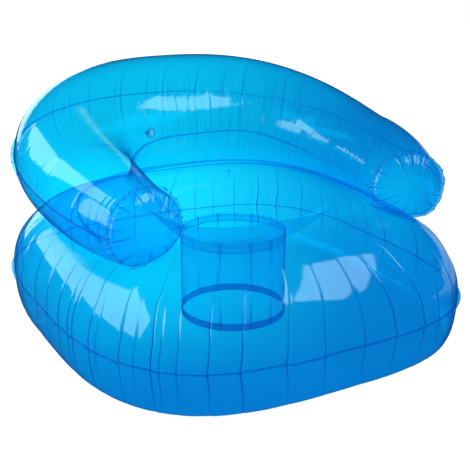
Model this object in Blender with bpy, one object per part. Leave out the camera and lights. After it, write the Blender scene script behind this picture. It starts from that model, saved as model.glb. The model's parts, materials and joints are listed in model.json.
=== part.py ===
"""Inflatable pool chair, welded from clear blue PVC film.

Two air chambers make it: a thick rounded-square seat cushion, dished towards an upright film sleeve
that ties its top to its floor, and one crescent tube that is the backrest and both arms. Each has a
moulded safety valve. The chair faces -Y, +Z is up, and the origin is the middle of the floor under it.
Sizes are in metres, angles in degrees where their names say so.
"""

import math

import bmesh
import bpy
import numpy as np
from mathutils import Matrix, Vector
from mathutils.bvhtree import BVHTree

# Film and welds
film_thickness = 0.0004
seam_thickness = 0.0008
fin_width = 0.008
fin_tuck = 0.002
clearance = 0.0003

# Seat chamber
seat_half_width = 0.500
seat_half_depth = 0.535
seat_squareness = 3.18
seat_rear_flare_share = 0.028
rim_height = 0.106
crown_height = 0.3165
crown_reach_share = 0.508
floor_reach_share = 0.947
floor_turn_fullness = 0.83
dish_height = 0.227

# Sleeve that ties the dish to the floor
sleeve_radius = 0.134
sleeve_forward = 0.037
sleeve_weld_height = 0.018
sleeve_weld_drop = 0.006
disc_sag = 0.006
disc_ring_share = 0.5

# Back chamber: the crescent's centre line, set in from the seat's rim and up from its crown
back_side_inset = 0.121
back_rear_inset = 0.2085
arm_reach = 0.390
back_squareness = 2.556
arm_wrap_degrees = 119.0
back_rise = 0.1505
arm_end_rise = 0.0325
height_fade = 0.66

# Back chamber: its tube
back_radius = 0.172
arm_end_radius = 0.092
radius_fade = 0.544
tube_height_share = 0.90
seam_tilt_degrees = 10.0

# Arm ends
cap_bulge_share = 0.27
cap_outward_degrees = 11.0
cap_upward_degrees = 7.7
cap_turn_share = 0.25

# Where the tube rests on the seat
contact_gap = 0.008
contact_softness = 0.020
strip_reach_share = 0.80
strip_clearance = 0.0006
contact_fade_share = 0.5

# Places of the two valves
back_valve_turn_share = -0.261
back_valve_rise_degrees = 9.0
seat_valve_degrees = 62.0
seat_valve_side_share = 0.45

# Safety valve
flange_radius = 0.0150
flange_thickness = 0.0008
flange_bead = 0.0007
collar_wall = 0.0010
collar_depth = 0.0030
neck_radius = 0.0055
neck_bore_radius = 0.0030
neck_length = 0.0180
neck_lip_radius = 0.0070
neck_lip_thickness = 0.0012
neck_stop_radius = 0.0064
neck_stop_height = 0.0012
neck_foot_taper = 0.0006
plug_radius = 0.0066
plug_thickness = 0.0016
plug_edge_round = 0.0004
spigot_depth = 0.0030
spigot_taper = 0.0008
tab_root_share = 0.5
hinge_reach = 0.0105
hinge_bead_radius = 0.0006
strap_width = 0.0050
strap_thickness = 0.0009
flap_radius = 0.0046
flap_thickness = 0.0005
flap_hinge_reach = 0.0052

# Where the crescent's line comes to lie
back_half_span = seat_half_width - back_side_inset
back_centre_y = seat_half_depth - back_rear_inset
back_height = crown_height + back_rise
arm_end_height = crown_height + arm_end_rise

# Facets
seat_segments = 48
side_rows = 5
dish_rows = 6
floor_rows = 2
floor_turn_rows = 5
tube_segments = 36
tube_rows = 8
cap_rows = 4
cap_segments = 24
strip_segments = 80
valve_segments = 24
path_samples = 721
inverse_rounds = 8

# Tolerances of the modelling itself
merge_distance = 1e-6
sharp_degrees = 40.0
cutter_half_length = 0.03

collection = bpy.context.scene.collection


def clear_scene():
    for thing in list(bpy.data.objects):
        bpy.data.objects.remove(thing, do_unlink=True)


def make_material(name, colour, roughness, alpha):
    material = bpy.data.materials.new(name)
    material.use_nodes = True
    shader = material.node_tree.nodes["Principled BSDF"]
    shader.inputs["Base Color"].default_value = (*colour, 1.0)
    shader.inputs["Roughness"].default_value = roughness
    shader.inputs["Metallic"].default_value = 0.0
    shader.inputs["Alpha"].default_value = alpha
    return material


# Small shape functions


def signed_power(value, power):
    return np.sign(value) * np.abs(value) ** power


def smooth_step(value):
    """0 below 0, 1 above 1, and a smooth turn between."""
    held = np.clip(value, 0.0, 1.0)
    return held * held * (3.0 - 2.0 * held)


def soft_excess(value):
    """What is over zero, with a soft start, so that two films press together in a round crease."""
    return 0.5 * (value + math.hypot(value, contact_softness))


# The seat's outline and height


def outline_radius(angle):
    """The rounded square of the seat's rim, seen from above."""
    across = abs(math.cos(angle) / seat_half_width) ** seat_squareness
    along = abs(math.sin(angle) / seat_half_depth) ** seat_squareness
    return (across + along) ** (-1.0 / seat_squareness)


def seat_place(radius, angle):
    """Plan place of a point, in rings that move from the rim's centre to the sleeve's."""
    share = radius / outline_radius(angle)
    y = radius * math.sin(angle)
    x = radius * math.cos(angle) * (1.0 + seat_rear_flare_share * share**2 * y / seat_half_depth)
    return x, y - sleeve_forward * (1.0 - share)


def seat_ring(x, y):
    """Radius and angle of the seat's rings at a plan place, found by a few rounds of correction."""
    share = 0.5
    for _ in range(inverse_rounds):
        ring_y = y + sleeve_forward * (1.0 - share)
        ring_x = x / (1.0 + seat_rear_flare_share * share**2 * ring_y / seat_half_depth)
        angle = math.atan2(ring_y, ring_x)
        radius = math.hypot(ring_x, ring_y)
        share = radius / outline_radius(angle)
    return radius, angle


def seat_height(x, y):
    """Height of the seat's top before the tube presses on it."""
    radius, angle = seat_ring(x, y)
    rim = outline_radius(angle)
    crown = crown_reach_share * rim
    if radius >= rim:
        return rim_height - (radius - rim)
    if radius >= crown:
        across = (radius - crown) / (rim - crown)
        return rim_height + (crown_height - rim_height) * math.sqrt(1.0 - across**2)
    inward = min((crown - radius) / (crown - sleeve_radius), 1.0)
    return dish_height + (crown_height - dish_height) * 0.5 * (1.0 + math.cos(math.pi * inward))


# The crescent's centre line and sections


def crescent_line():
    """Centres, radii, rise and turn of the tube, closely spaced from the right arm to the left."""
    turn = np.linspace(-1.0, 1.0, path_samples)
    angle = turn * math.radians(arm_wrap_degrees)
    rise = 0.5 * (1.0 + np.cos(math.pi * turn))
    x = back_half_span * signed_power(np.sin(angle), 2.0 / back_squareness)
    y = back_centre_y - arm_reach * (1.0 - signed_power(np.cos(angle), 2.0 / back_squareness))
    z = arm_end_height + (back_height - arm_end_height) * rise**height_fade
    radius = arm_end_radius + (back_radius - arm_end_radius) * rise**radius_fade
    return np.stack([x, y, z], axis=1), radius, rise, turn


line_centres, line_radii, line_rise, line_turn = crescent_line()
line_steps = np.linalg.norm(np.diff(line_centres, axis=0), axis=1)
line_lengths = np.concatenate([[0.0], np.cumsum(line_steps)])
line_directions = np.gradient(line_centres, line_lengths, axis=0)


def tube_section(length):
    """Centre, outward, upward and forward directions, and radius, at a length along the line.

    The seams tilt at the back, and the last sections turn with the arm's end cap.
    """
    centre = Vector([np.interp(length, line_lengths, line_centres[:, axis]) for axis in range(3)])
    along = Vector([np.interp(length, line_lengths, line_directions[:, axis]) for axis in range(3)])
    radius = float(np.interp(length, line_lengths, line_radii))
    rise = float(np.interp(length, line_lengths, line_rise))
    turn = float(np.interp(length, line_lengths, line_turn))
    along.normalize()
    outward = along.cross(Vector((0, 0, 1))).normalized()
    if outward.xy.dot(centre.xy - Vector((0.0, back_centre_y - arm_reach))) < 0.0:
        outward.negate()
    upward = along.cross(outward)
    if upward.z < 0.0:
        upward.negate()
    tilt = math.radians(seam_tilt_degrees) * rise
    outward, upward = (
        outward * math.cos(tilt) + upward * math.sin(tilt),
        upward * math.cos(tilt) - outward * math.sin(tilt),
    )
    facing = along * math.copysign(1.0, turn)
    share = smooth_step((abs(turn) - 1.0 + cap_turn_share) / cap_turn_share)
    yaw = math.radians(cap_outward_degrees) * share
    pitch = math.radians(cap_upward_degrees) * share
    facing = facing * math.cos(yaw) + outward * math.sin(yaw)
    facing = (facing * math.cos(pitch) + upward * math.sin(pitch)).normalized()
    outward = (outward - facing * outward.dot(facing)).normalized()
    upward = facing.cross(outward)
    if upward.z < 0.0:
        upward.negate()
    return centre, outward, upward, facing, radius


def tube_underside(x, y):
    """Height of the tube's lower surface over a plan place, before the seat lifts it."""
    offsets = np.array([x, y]) - line_centres[:, :2]
    nearest = int(np.argmin((offsets**2).sum(axis=1)))
    direction = line_directions[nearest, :2] / np.linalg.norm(line_directions[nearest, :2])
    along = float(offsets[nearest] @ direction)
    across = float(offsets[nearest] @ np.array([-direction[1], direction[0]]))
    if nearest in (0, len(line_radii) - 1):
        along /= cap_bulge_share
    distance = math.hypot(along, across)
    end_share = float(smooth_step((abs(line_turn[nearest]) - 1.0 + cap_turn_share) / cap_turn_share))
    radius = line_radii[nearest] + fin_width * end_share
    if distance >= radius:
        return float(line_centres[nearest, 2] + distance - radius)
    drop = tube_height_share * math.sqrt(radius**2 - distance**2)
    return float(line_centres[nearest, 2] - drop)


def pressed_seat_point(radius, angle, height):
    """A point of the seat's top sheet, pushed down where the tube lies on it."""
    x, y = seat_place(radius, angle)
    overlap = height - tube_underside(x, y) + contact_gap
    return Vector((x, y, height - 0.5 * soft_excess(overlap)))


def lifted_tube_point(point, downward_share):
    """A point of the tube, pushed up where it lies on the seat. Its seams stay where they are."""
    overlap = seat_height(point.x, point.y) - point.z + contact_gap
    fade = float(smooth_step(downward_share / contact_fade_share))
    return Vector((point.x, point.y, point.z + 0.5 * soft_excess(overlap) * fade))


def tube_point(section, angle):
    centre, outward, upward, _, radius = section
    side = outward * math.cos(angle) + upward * (tube_height_share * math.sin(angle))
    return lifted_tube_point(centre + side * radius, -math.sin(angle))


# Mesh builders


def finish_object(name, builder, material):
    bmesh.ops.remove_doubles(builder, verts=builder.verts, dist=merge_distance)
    mesh = bpy.data.meshes.new(name)
    builder.to_mesh(mesh)
    builder.free()
    mesh.materials.append(material)
    mesh.shade_smooth()
    mesh.set_sharp_from_angle(angle=math.radians(sharp_degrees))
    made = bpy.data.objects.new(name, mesh)
    collection.objects.link(made)
    return made


def film(name, rows, material, round_rows, pole=None, flip=False):
    """A film sheet through rows of points, as thick as the film, with its outside on the points."""
    builder = bmesh.new()
    rings = [[builder.verts.new(point) for point in row] for row in rows]
    count = len(rings[0])
    spans = count if round_rows else count - 1
    for lower, upper in zip(rings, rings[1:]):
        for i in range(spans):
            j = (i + 1) % count
            builder.faces.new((lower[i], lower[j], upper[j], upper[i]))
    if pole is not None:
        tip = builder.verts.new(pole)
        for i in range(spans):
            builder.faces.new((rings[-1][i], rings[-1][(i + 1) % count], tip))
    if flip:
        bmesh.ops.reverse_faces(builder, faces=builder.faces)
    bmesh.ops.triangulate(builder, faces=builder.faces, quad_method="FIXED")
    made = finish_object(name, builder, material)
    wall = made.modifiers.new("film", "SOLIDIFY")
    wall.thickness = film_thickness
    wall.offset = -1.0
    return made


def band(name, stations, profile, material, round_path):
    """A solid strip: one profile of (out, up) offsets carried through stations of (place, out, up)."""
    builder = bmesh.new()
    rings = []
    for place, outward, upward in stations:
        rings.append([builder.verts.new(place + outward * out + upward * up) for out, up in profile])
    corners = len(profile)
    spans = len(rings) if round_path else len(rings) - 1
    for i in range(spans):
        here = rings[i]
        after = rings[(i + 1) % len(rings)]
        for j in range(corners):
            k = (j + 1) % corners
            builder.faces.new((here[j], after[j], after[k], here[k]))
    if not round_path:
        builder.faces.new(rings[0])
        builder.faces.new(list(reversed(rings[-1])))
    bmesh.ops.recalc_face_normals(builder, faces=builder.faces)
    bmesh.ops.triangulate(builder, faces=builder.faces, quad_method="FIXED")
    return finish_object(name, builder, material)


def turned(name, outline, material, ring):
    """A lathe shape round local Z from (radius, height) points, closed on itself for a ring."""
    builder = bmesh.new()
    points = [builder.verts.new((radius, 0.0, height)) for radius, height in outline]
    edges = [builder.edges.new(pair) for pair in zip(points, points[1:])]
    if ring:
        edges.append(builder.edges.new((points[-1], points[0])))
    bmesh.ops.spin(
        builder,
        geom=points + edges,
        axis=(0, 0, 1),
        cent=(0, 0, 0),
        angle=math.tau,
        steps=valve_segments,
        use_merge=True,
    )
    bmesh.ops.remove_doubles(builder, verts=builder.verts, dist=merge_distance)
    bmesh.ops.recalc_face_normals(builder, faces=builder.faces)
    return finish_object(name, builder, material)


def flat_fin(inside, outside, thickness):
    """Profile of a weld flange that runs from inside to outside, half its thickness each way."""
    half = 0.5 * thickness
    return [(-inside, -half), (outside, -half), (outside, half), (-inside, half)]


# Seat chamber


def seat_angles():
    return [math.tau * (i + 0.5) / seat_segments for i in range(seat_segments)]


def upper_profile(angle, share):
    """Radius and height up the seat's upper side, from the rim weld at 0 to the crown at 1."""
    rim = outline_radius(angle)
    crown = crown_reach_share * rim
    edge = rim_height + 0.5 * seam_thickness + clearance
    turn = 0.5 * math.pi * share
    radius = crown + (rim - crown) * math.cos(turn)
    return radius, edge + (crown_height - edge) * math.sin(turn)


def dish_profile(angle, share):
    """Radius and height down into the dish, from the crown at 0 to the sleeve at 1."""
    crown = crown_reach_share * outline_radius(angle)
    radius = crown + (sleeve_radius - crown) * share
    fall = 0.5 * (1.0 + math.cos(math.pi * share))
    return radius, dish_height + (crown_height - dish_height) * fall


def seat_top_ring(profile, share):
    ring = []
    for angle in seat_angles():
        radius, height = profile(angle, share)
        ring.append(pressed_seat_point(radius, angle, height))
    return ring


def make_seat_top(material):
    rows = [seat_top_ring(upper_profile, row / side_rows) for row in range(side_rows + 1)]
    rows += [seat_top_ring(dish_profile, row / dish_rows) for row in range(1, dish_rows + 1)]
    return film("seat_top_sheet", rows, material, round_rows=True)


def make_seat_floor(material):
    """The lower sheet: down from the rim weld, round on to the flat floor, and in to its centre."""
    edge = rim_height - 0.5 * seam_thickness - clearance
    rows = []
    for row in range(floor_turn_rows + 1):
        turn = 0.5 * math.pi * row / floor_turn_rows
        ring = []
        for angle in seat_angles():
            rim = outline_radius(angle)
            flat = floor_reach_share * rim
            radius = flat + (rim - flat) * math.cos(turn) ** floor_turn_fullness
            height = edge * (1.0 - math.sin(turn) ** floor_turn_fullness)
            ring.append(Vector((*seat_place(radius, angle), height)))
        rows.append(ring)
    for row in range(1, floor_rows + 1):
        ring = []
        for angle in seat_angles():
            flat = floor_reach_share * outline_radius(angle)
            radius = flat + (sleeve_radius - flat) * row / floor_rows
            ring.append(Vector((*seat_place(radius, angle), 0.0)))
        rows.append(ring)
    centre = Vector((*seat_place(0.0, 0.0), 0.0))
    return film("seat_floor_sheet", rows, material, round_rows=True, pole=centre, flip=True)


def make_rim_weld(material):
    stations = []
    for angle in seat_angles():
        x, y = seat_place(outline_radius(angle), angle)
        stations.append((Vector((x, y, rim_height)), Vector((x, y, 0.0)).normalized(), Vector((0, 0, 1))))
    return band("seat_rim_weld", stations, flat_fin(fin_tuck, fin_width, seam_thickness), material, True)


def sleeve_ring(radius, height):
    """The sleeve's own circle, in the same facets as the sheets that meet it."""
    centre = Vector((*seat_place(0.0, 0.0), 0.0))
    ring = []
    for angle in seat_angles():
        outward = Vector((*seat_place(sleeve_radius, angle), 0.0)) - centre
        ring.append(centre + outward * (radius / sleeve_radius) + Vector((0.0, 0.0, height)))
    return ring


def make_sleeve(material):
    low = film_thickness + clearance
    high = dish_height - film_thickness - clearance
    rows = [sleeve_ring(sleeve_radius, low), sleeve_ring(sleeve_radius, high)]
    return film("tension_sleeve", rows, material, round_rows=True)


def make_sleeve_weld(name, low, material):
    """A band of doubled film round the sleeve, where it is welded to a sheet."""
    outer = sleeve_radius + clearance + seam_thickness
    stations = []
    for inside, outside in zip(sleeve_ring(sleeve_radius + clearance, low), sleeve_ring(outer, low)):
        stations.append((inside, outside - inside, Vector((0.0, 0.0, 1.0))))
    profile = [(0.0, 0.0), (1.0, 0.0), (1.0, sleeve_weld_height), (0.0, sleeve_weld_height)]
    return band(name, stations, profile, material, round_path=True)


def make_centre_disc(material):
    edge = sleeve_radius - clearance - film_thickness
    rows = []
    for share in (1.0, disc_ring_share):
        rows.append(sleeve_ring(edge * share, dish_height - disc_sag * (1.0 - share**2)))
    pole = Vector((*seat_place(0.0, 0.0), dish_height - disc_sag))
    return film("seat_centre_disc", rows, material, round_rows=True, pole=pole)


def make_seat_chamber(film_blue, weld_blue):
    top = make_seat_top(film_blue)
    make_seat_floor(film_blue)
    make_rim_weld(weld_blue)
    make_centre_disc(film_blue)
    make_sleeve(film_blue)
    top_weld = dish_height - film_thickness - sleeve_weld_drop - sleeve_weld_height
    make_sleeve_weld("sleeve_top_weld_ring", top_weld, weld_blue)
    make_sleeve_weld("sleeve_floor_weld_ring", film_thickness + clearance, weld_blue)
    return top


# Back chamber


def tube_sections():
    """Even places along the crescent. The first and the last stop short of the arm ends' seams."""
    sections = [tube_section(length) for length in np.linspace(0.0, line_lengths[-1], tube_segments + 1)]
    margin = 0.5 * seam_thickness + clearance
    for end in (0, -1):
        centre, outward, upward, facing, radius = sections[end]
        sections[end] = (centre - facing * margin, outward, upward, facing, radius)
    return sections


def seam_angle(radius):
    """The small angle that keeps a sheet's edge clear of the seam between the sheets."""
    return (0.5 * seam_thickness + clearance) / (radius * tube_height_share)


def make_tube_sheet(name, start_angle, material):
    """Half the tube, from its outer seam over the top or from its inner seam under the bottom."""
    rows = []
    for section in tube_sections():
        edge = seam_angle(section[4])
        angles = np.linspace(start_angle + edge, start_angle + math.pi - edge, tube_rows + 1)
        rows.append([tube_point(section, angle) for angle in angles])
    return film(name, rows, material, round_rows=False)


def make_tube_weld(name, side, material):
    """A seam's flange. Side is 1 along the outside of the crescent and -1 along the inside."""
    stations = []
    for centre, outward, upward, _, radius in tube_sections():
        stations.append((centre + outward * (side * radius), outward * side, upward))
    return band(name, stations, flat_fin(fin_tuck, fin_width, seam_thickness), material, round_path=False)


def cap_ring(section, share, extra):
    """A ring of the bulged end: share 0 is its rim and 1 its middle, extra is added to the radius."""
    centre, outward, upward, facing, radius = section
    turn = 0.5 * math.pi * share
    forward = facing * (0.5 * seam_thickness + clearance + cap_bulge_share * radius * math.sin(turn))
    ring = []
    for i in range(cap_segments):
        angle = math.tau * i / cap_segments
        side = outward * math.cos(angle) + upward * (tube_height_share * math.sin(angle))
        point = centre + forward + side * ((radius + extra) * math.cos(turn))
        ring.append(lifted_tube_point(point, -math.sin(angle) * math.cos(turn)))
    return ring


def make_cap(name, length, flip, material):
    section = tube_section(length)
    rows = [cap_ring(section, row / cap_rows, 0.0) for row in range(cap_rows)]
    centre, _, _, facing, radius = section
    pole = centre + facing * (0.5 * seam_thickness + clearance + cap_bulge_share * radius)
    return film(name, rows, material, round_rows=True, pole=pole, flip=flip)


def make_cap_weld(name, length, material):
    """The round seam of an arm's end, a thin ring in the plane of the cap."""
    section = tube_section(length)
    facing = section[3]
    back = facing * (0.5 * seam_thickness + clearance)
    stations = []
    for inner, outer in zip(cap_ring(section, 0.0, -fin_tuck), cap_ring(section, 0.0, fin_width)):
        stations.append((inner - back, outer - inner, facing))
    half = 0.5 * seam_thickness
    profile = [(0.0, -half), (1.0, -half), (1.0, half), (0.0, half)]
    return band(name, stations, profile, material, round_path=True)


def surface_of(made):
    """The outside of a film sheet, for measuring from."""
    points = [vertex.co for vertex in made.data.vertices]
    faces = [tuple(face.vertices) for face in made.data.polygons]
    return BVHTree.FromPolygons(points, faces)


def make_contact_strip(seat_top, lower_sheet, material):
    """The upright strip of film that joins the tube's underside to the seat below it."""
    seat = surface_of(seat_top)
    tube = surface_of(lower_sheet)
    low_middle = 0.5 * line_lengths[-1]
    reach = low_middle * strip_reach_share
    builder = bmesh.new()
    rings = []
    for i in range(strip_segments + 1):
        length = low_middle + reach * (2.0 * i / strip_segments - 1.0)
        centre, outward, _, _, _ = tube_section(length)
        across = Vector((outward.x, outward.y, 0.0)).normalized() * (0.5 * seam_thickness)
        feet = []
        heads = []
        for side in (-1.0, 1.0):
            inside_tube = centre + across * side
            feet.append(seat.ray_cast(inside_tube, Vector((0, 0, -1)))[0].z + strip_clearance)
            heads.append(tube.ray_cast(inside_tube, Vector((0, 0, -1)))[0].z - strip_clearance)
        low = max(feet)
        high = min(heads)
        ring = []
        for side, height in ((-1.0, low), (1.0, low), (1.0, high), (-1.0, high)):
            place = (centre + across * side).xy
            ring.append(builder.verts.new((*place, height)))
        rings.append(ring)
    for here, after in zip(rings, rings[1:]):
        for j in range(4):
            k = (j + 1) % 4
            builder.faces.new((here[j], after[j], after[k], here[k]))
    builder.faces.new(rings[0])
    builder.faces.new(list(reversed(rings[-1])))
    bmesh.ops.recalc_face_normals(builder, faces=builder.faces)
    return finish_object("seat_to_back_weld", builder, material)


def make_back_chamber(film_blue, weld_blue, seat_top):
    upper = make_tube_sheet("backrest_upper_sheet", 0.0, film_blue)
    lower = make_tube_sheet("backrest_lower_sheet", math.pi, film_blue)
    make_tube_weld("backrest_outer_weld", 1.0, weld_blue)
    make_tube_weld("backrest_inner_weld", -1.0, weld_blue)
    for side, length, flip in (("right", 0.0, True), ("left", line_lengths[-1], False)):
        make_cap(f"{side}_arm_end_cap", length, flip, film_blue)
        make_cap_weld(f"{side}_arm_cap_weld", length, weld_blue)
    make_contact_strip(seat_top, lower, weld_blue)
    return upper


# Valves


def valve_frame(host, place, towards, uphill):
    """A frame on a film sheet at the point nearest to place: Z out of the chamber, Y uphill.

    Its origin stands clear of the highest film under the flange, because the flange is flat.
    """
    surface = surface_of(host)
    point, normal, _, _ = surface.find_nearest(place)
    if normal.dot(towards) < 0.0:
        normal.negate()
    across = uphill.cross(normal).normalized()
    upward = normal.cross(across)
    highest = 0.0
    for i in range(valve_segments):
        angle = math.tau * i / valve_segments
        around = across * math.cos(angle) + upward * math.sin(angle)
        above = point + around * flange_radius + normal * cutter_half_length
        hit = surface.ray_cast(above, -normal)[0]
        if hit is not None:
            highest = max(highest, (hit - point).dot(normal))
    frame = Matrix((across, upward, normal)).transposed().to_4x4()
    frame.translation = point + normal * (highest + clearance)
    return frame


def cut_film(host, frame):
    """The hole in the film that the valve's collar passes through."""
    radius = neck_radius + clearance + collar_wall + clearance
    outline = [(0.0, -cutter_half_length), (radius, -cutter_half_length)]
    outline += [(radius, cutter_half_length), (0.0, cutter_half_length)]
    cutter = turned(f"{host.name}_valve_hole", outline, host.data.materials[0], ring=False)
    cutter.matrix_world = frame
    cutter.hide_render = True
    cutter.display_type = "WIRE"
    hole = host.modifiers.new("valve_hole", "BOOLEAN")
    hole.operation = "DIFFERENCE"
    hole.solver = "EXACT"
    hole.object = cutter


def make_flange(name, material):
    """The disc that is welded to the film, with the collar that guides the neck."""
    inner = neck_radius + clearance
    collar = inner + collar_wall
    outline = [
        (inner, -collar_depth),
        (collar, -collar_depth),
        (collar, 0.0),
        (flange_radius, 0.0),
        (flange_radius, flange_thickness),
        (flange_radius - flange_bead, flange_thickness + flange_bead),
        (flange_radius - 2.0 * flange_bead, flange_thickness),
        (inner, flange_thickness),
    ]
    return turned(f"{name}_flange", outline, material, ring=True)


def lip_bottom():
    return flange_thickness + clearance


def mouth_height():
    return lip_bottom() + neck_lip_thickness


def neck_bottom():
    return lip_bottom() - neck_length


def make_neck(name, material):
    """The tube that is pushed in for use: a lip outside, a stop inside that keeps it from coming off."""
    foot = neck_bottom()
    outline = [
        (neck_bore_radius, foot),
        (neck_radius - neck_foot_taper, foot),
        (neck_stop_radius, foot + 0.5 * neck_stop_height),
        (neck_radius, foot + neck_stop_height),
        (neck_radius, lip_bottom()),
        (neck_lip_radius, lip_bottom()),
        (neck_lip_radius, mouth_height()),
        (neck_bore_radius, mouth_height()),
    ]
    return turned(f"{name}_neck", outline, material, ring=True)


def box_between(builder, low, high):
    made = bmesh.ops.create_cube(builder, size=1.0)["verts"]
    size = [b - a for a, b in zip(low, high)]
    middle = [0.5 * (a + b) for a, b in zip(low, high)]
    bmesh.ops.scale(builder, verts=made, vec=size)
    bmesh.ops.translate(builder, verts=made, vec=middle)


def hinge_height():
    """The strap's bead lies level with the gap between the neck's mouth and the plug."""
    return mouth_height() + 0.5 * clearance


def make_strap(name, material):
    """The plug's strap: a tongue from the neck's lip to the bead that the plug's tab turns round."""
    half = 0.5 * strap_width
    builder = bmesh.new()
    top = mouth_height() - clearance
    box_between(
        builder,
        (-half, neck_lip_radius + clearance, top - strap_thickness),
        (half, hinge_reach, top),
    )
    made = finish_object(f"{name}_strap", builder, material)
    builder = bmesh.new()
    turn = Matrix.Rotation(math.radians(90.0), 4, "Y")
    place = Matrix.Translation((0.0, hinge_reach, hinge_height()))
    bmesh.ops.create_cone(
        builder,
        cap_ends=True,
        segments=valve_segments // 2,
        radius1=hinge_bead_radius,
        radius2=hinge_bead_radius,
        depth=strap_width,
        matrix=place @ turn,
    )
    bead = finish_object(f"{name}_strap_bead", builder, material)
    bead.hide_render = True
    bead.display_type = "WIRE"
    join = made.modifiers.new("bead", "BOOLEAN")
    join.operation = "UNION"
    join.solver = "EXACT"
    join.object = bead
    return made, bead


def make_plug(name, material):
    """The cap with its tapered spigot, and the tab that reaches to the strap."""
    base = mouth_height() + clearance
    top = base + plug_thickness
    snug = neck_bore_radius - clearance
    outline = [
        (0.0, base - spigot_depth),
        (snug - spigot_taper, base - spigot_depth),
        (snug, base - 0.5 * clearance),
        (snug, base),
        (plug_radius, base),
        (plug_radius, top - plug_edge_round),
        (plug_radius - plug_edge_round, top),
        (0.0, top),
    ]
    cap = turned(f"{name}_plug", outline, material, ring=False)
    builder = bmesh.new()
    half = 0.5 * strap_width
    root = plug_radius * tab_root_share
    reach = hinge_reach - hinge_bead_radius - clearance
    box_between(builder, (-half, root, base), (half, reach, base + strap_thickness))
    tab = finish_object(f"{name}_plug_tab", builder, material)
    tab.hide_render = True
    tab.display_type = "WIRE"
    join = cap.modifiers.new("tab", "BOOLEAN")
    join.operation = "UNION"
    join.solver = "EXACT"
    join.object = tab
    return cap, tab


def make_flap(name, material):
    """The check flap: a soft disc under the neck's foot, hung at one edge."""
    top = neck_bottom() - clearance
    outline = [(0.0, top - flap_thickness), (flap_radius, top - flap_thickness)]
    outline += [(flap_radius, top), (0.0, top)]
    return turned(f"{name}_check_flap", outline, material, ring=False)


def move_origin(made, origin):
    """Puts an object's own origin at a point of its parent's frame, with its shape where it was."""
    made.data.transform(Matrix.Translation(-Vector(origin)))
    made.location = origin


def make_valve(name, host, place, towards, uphill, materials):
    frame = valve_frame(host, place, towards, uphill)
    cut_film(host, frame)
    seat = bpy.data.objects.new(f"{name}_axis", None)
    seat.matrix_world = frame
    collection.objects.link(seat)
    valve_clear, valve_cap = materials
    flange = make_flange(name, valve_clear)
    neck = make_neck(name, valve_clear)
    strap, bead = make_strap(name, valve_clear)
    plug, tab = make_plug(name, valve_cap)
    flap = make_flap(name, valve_clear)
    for part in (flange, neck, strap, bead, plug, tab, flap):
        part.parent = seat
    for part in (plug, tab):
        move_origin(part, (0.0, hinge_reach, hinge_height()))
    move_origin(flap, (0.0, flap_hinge_reach, neck_bottom() - clearance))
    print(name, "slides along", [round(v, 5) for v in frame.col[2].xyz])
    print(name, "hinges turn round", [round(v, 5) for v in frame.col[0].xyz])
    for hinged in (plug, flap):
        print(hinged.name, "hinge at", [round(v, 5) for v in frame @ hinged.location])


def main():
    clear_scene()
    film_blue = make_material("clear_blue_film", (0.004, 0.42, 0.86), 0.06, 0.45)
    weld_blue = make_material("welded_blue_seam", (0.002, 0.22, 0.62), 0.25, 0.75)
    valve_clear = make_material("valve_soft_pvc", (0.30, 0.62, 0.82), 0.30, 0.70)
    valve_cap = make_material("valve_plug_pvc", (0.35, 0.68, 0.86), 0.30, 0.85)
    seat_top = make_seat_chamber(film_blue, weld_blue)
    back_upper = make_back_chamber(film_blue, weld_blue, seat_top)
    valve_pvc = (valve_clear, valve_cap)
    up = Vector((0, 0, 1))

    section = tube_section(float(np.interp(back_valve_turn_share, line_turn, line_lengths)))
    place = tube_point(section, math.pi - math.radians(back_valve_rise_degrees))
    make_valve("backrest_valve", back_upper, place, -section[1], up, valve_pvc)

    angle = math.radians(seat_valve_degrees)
    radius, height = upper_profile(angle, seat_valve_side_share)
    place = pressed_seat_point(radius, angle, height)
    away = Vector((place.x, place.y, 0.0))
    make_valve("seat_valve", seat_top, place, away, up, valve_pvc)


main()
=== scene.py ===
# %% [markdown]
# # A pool chair of clear blue film
#
# The real chair is two air chambers welded from thin tinted PVC film: a dished seat cushion, and a
# crescent tube that is the back and both arms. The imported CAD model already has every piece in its
# right place and size, but with smooth, coarse sheets. This lesson builds the films again with the
# gathers, creases and flanges that blowing a flat-cut sheet up gives it, and then the clear film
# itself, the studio and the camera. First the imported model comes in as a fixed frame. Nothing in it is
# moved: each new piece is built in the same metres, and rides on one of its bodies.

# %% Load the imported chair
import json
import math

import bpy
import numpy as np
from mathutils import Matrix, Vector

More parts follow.
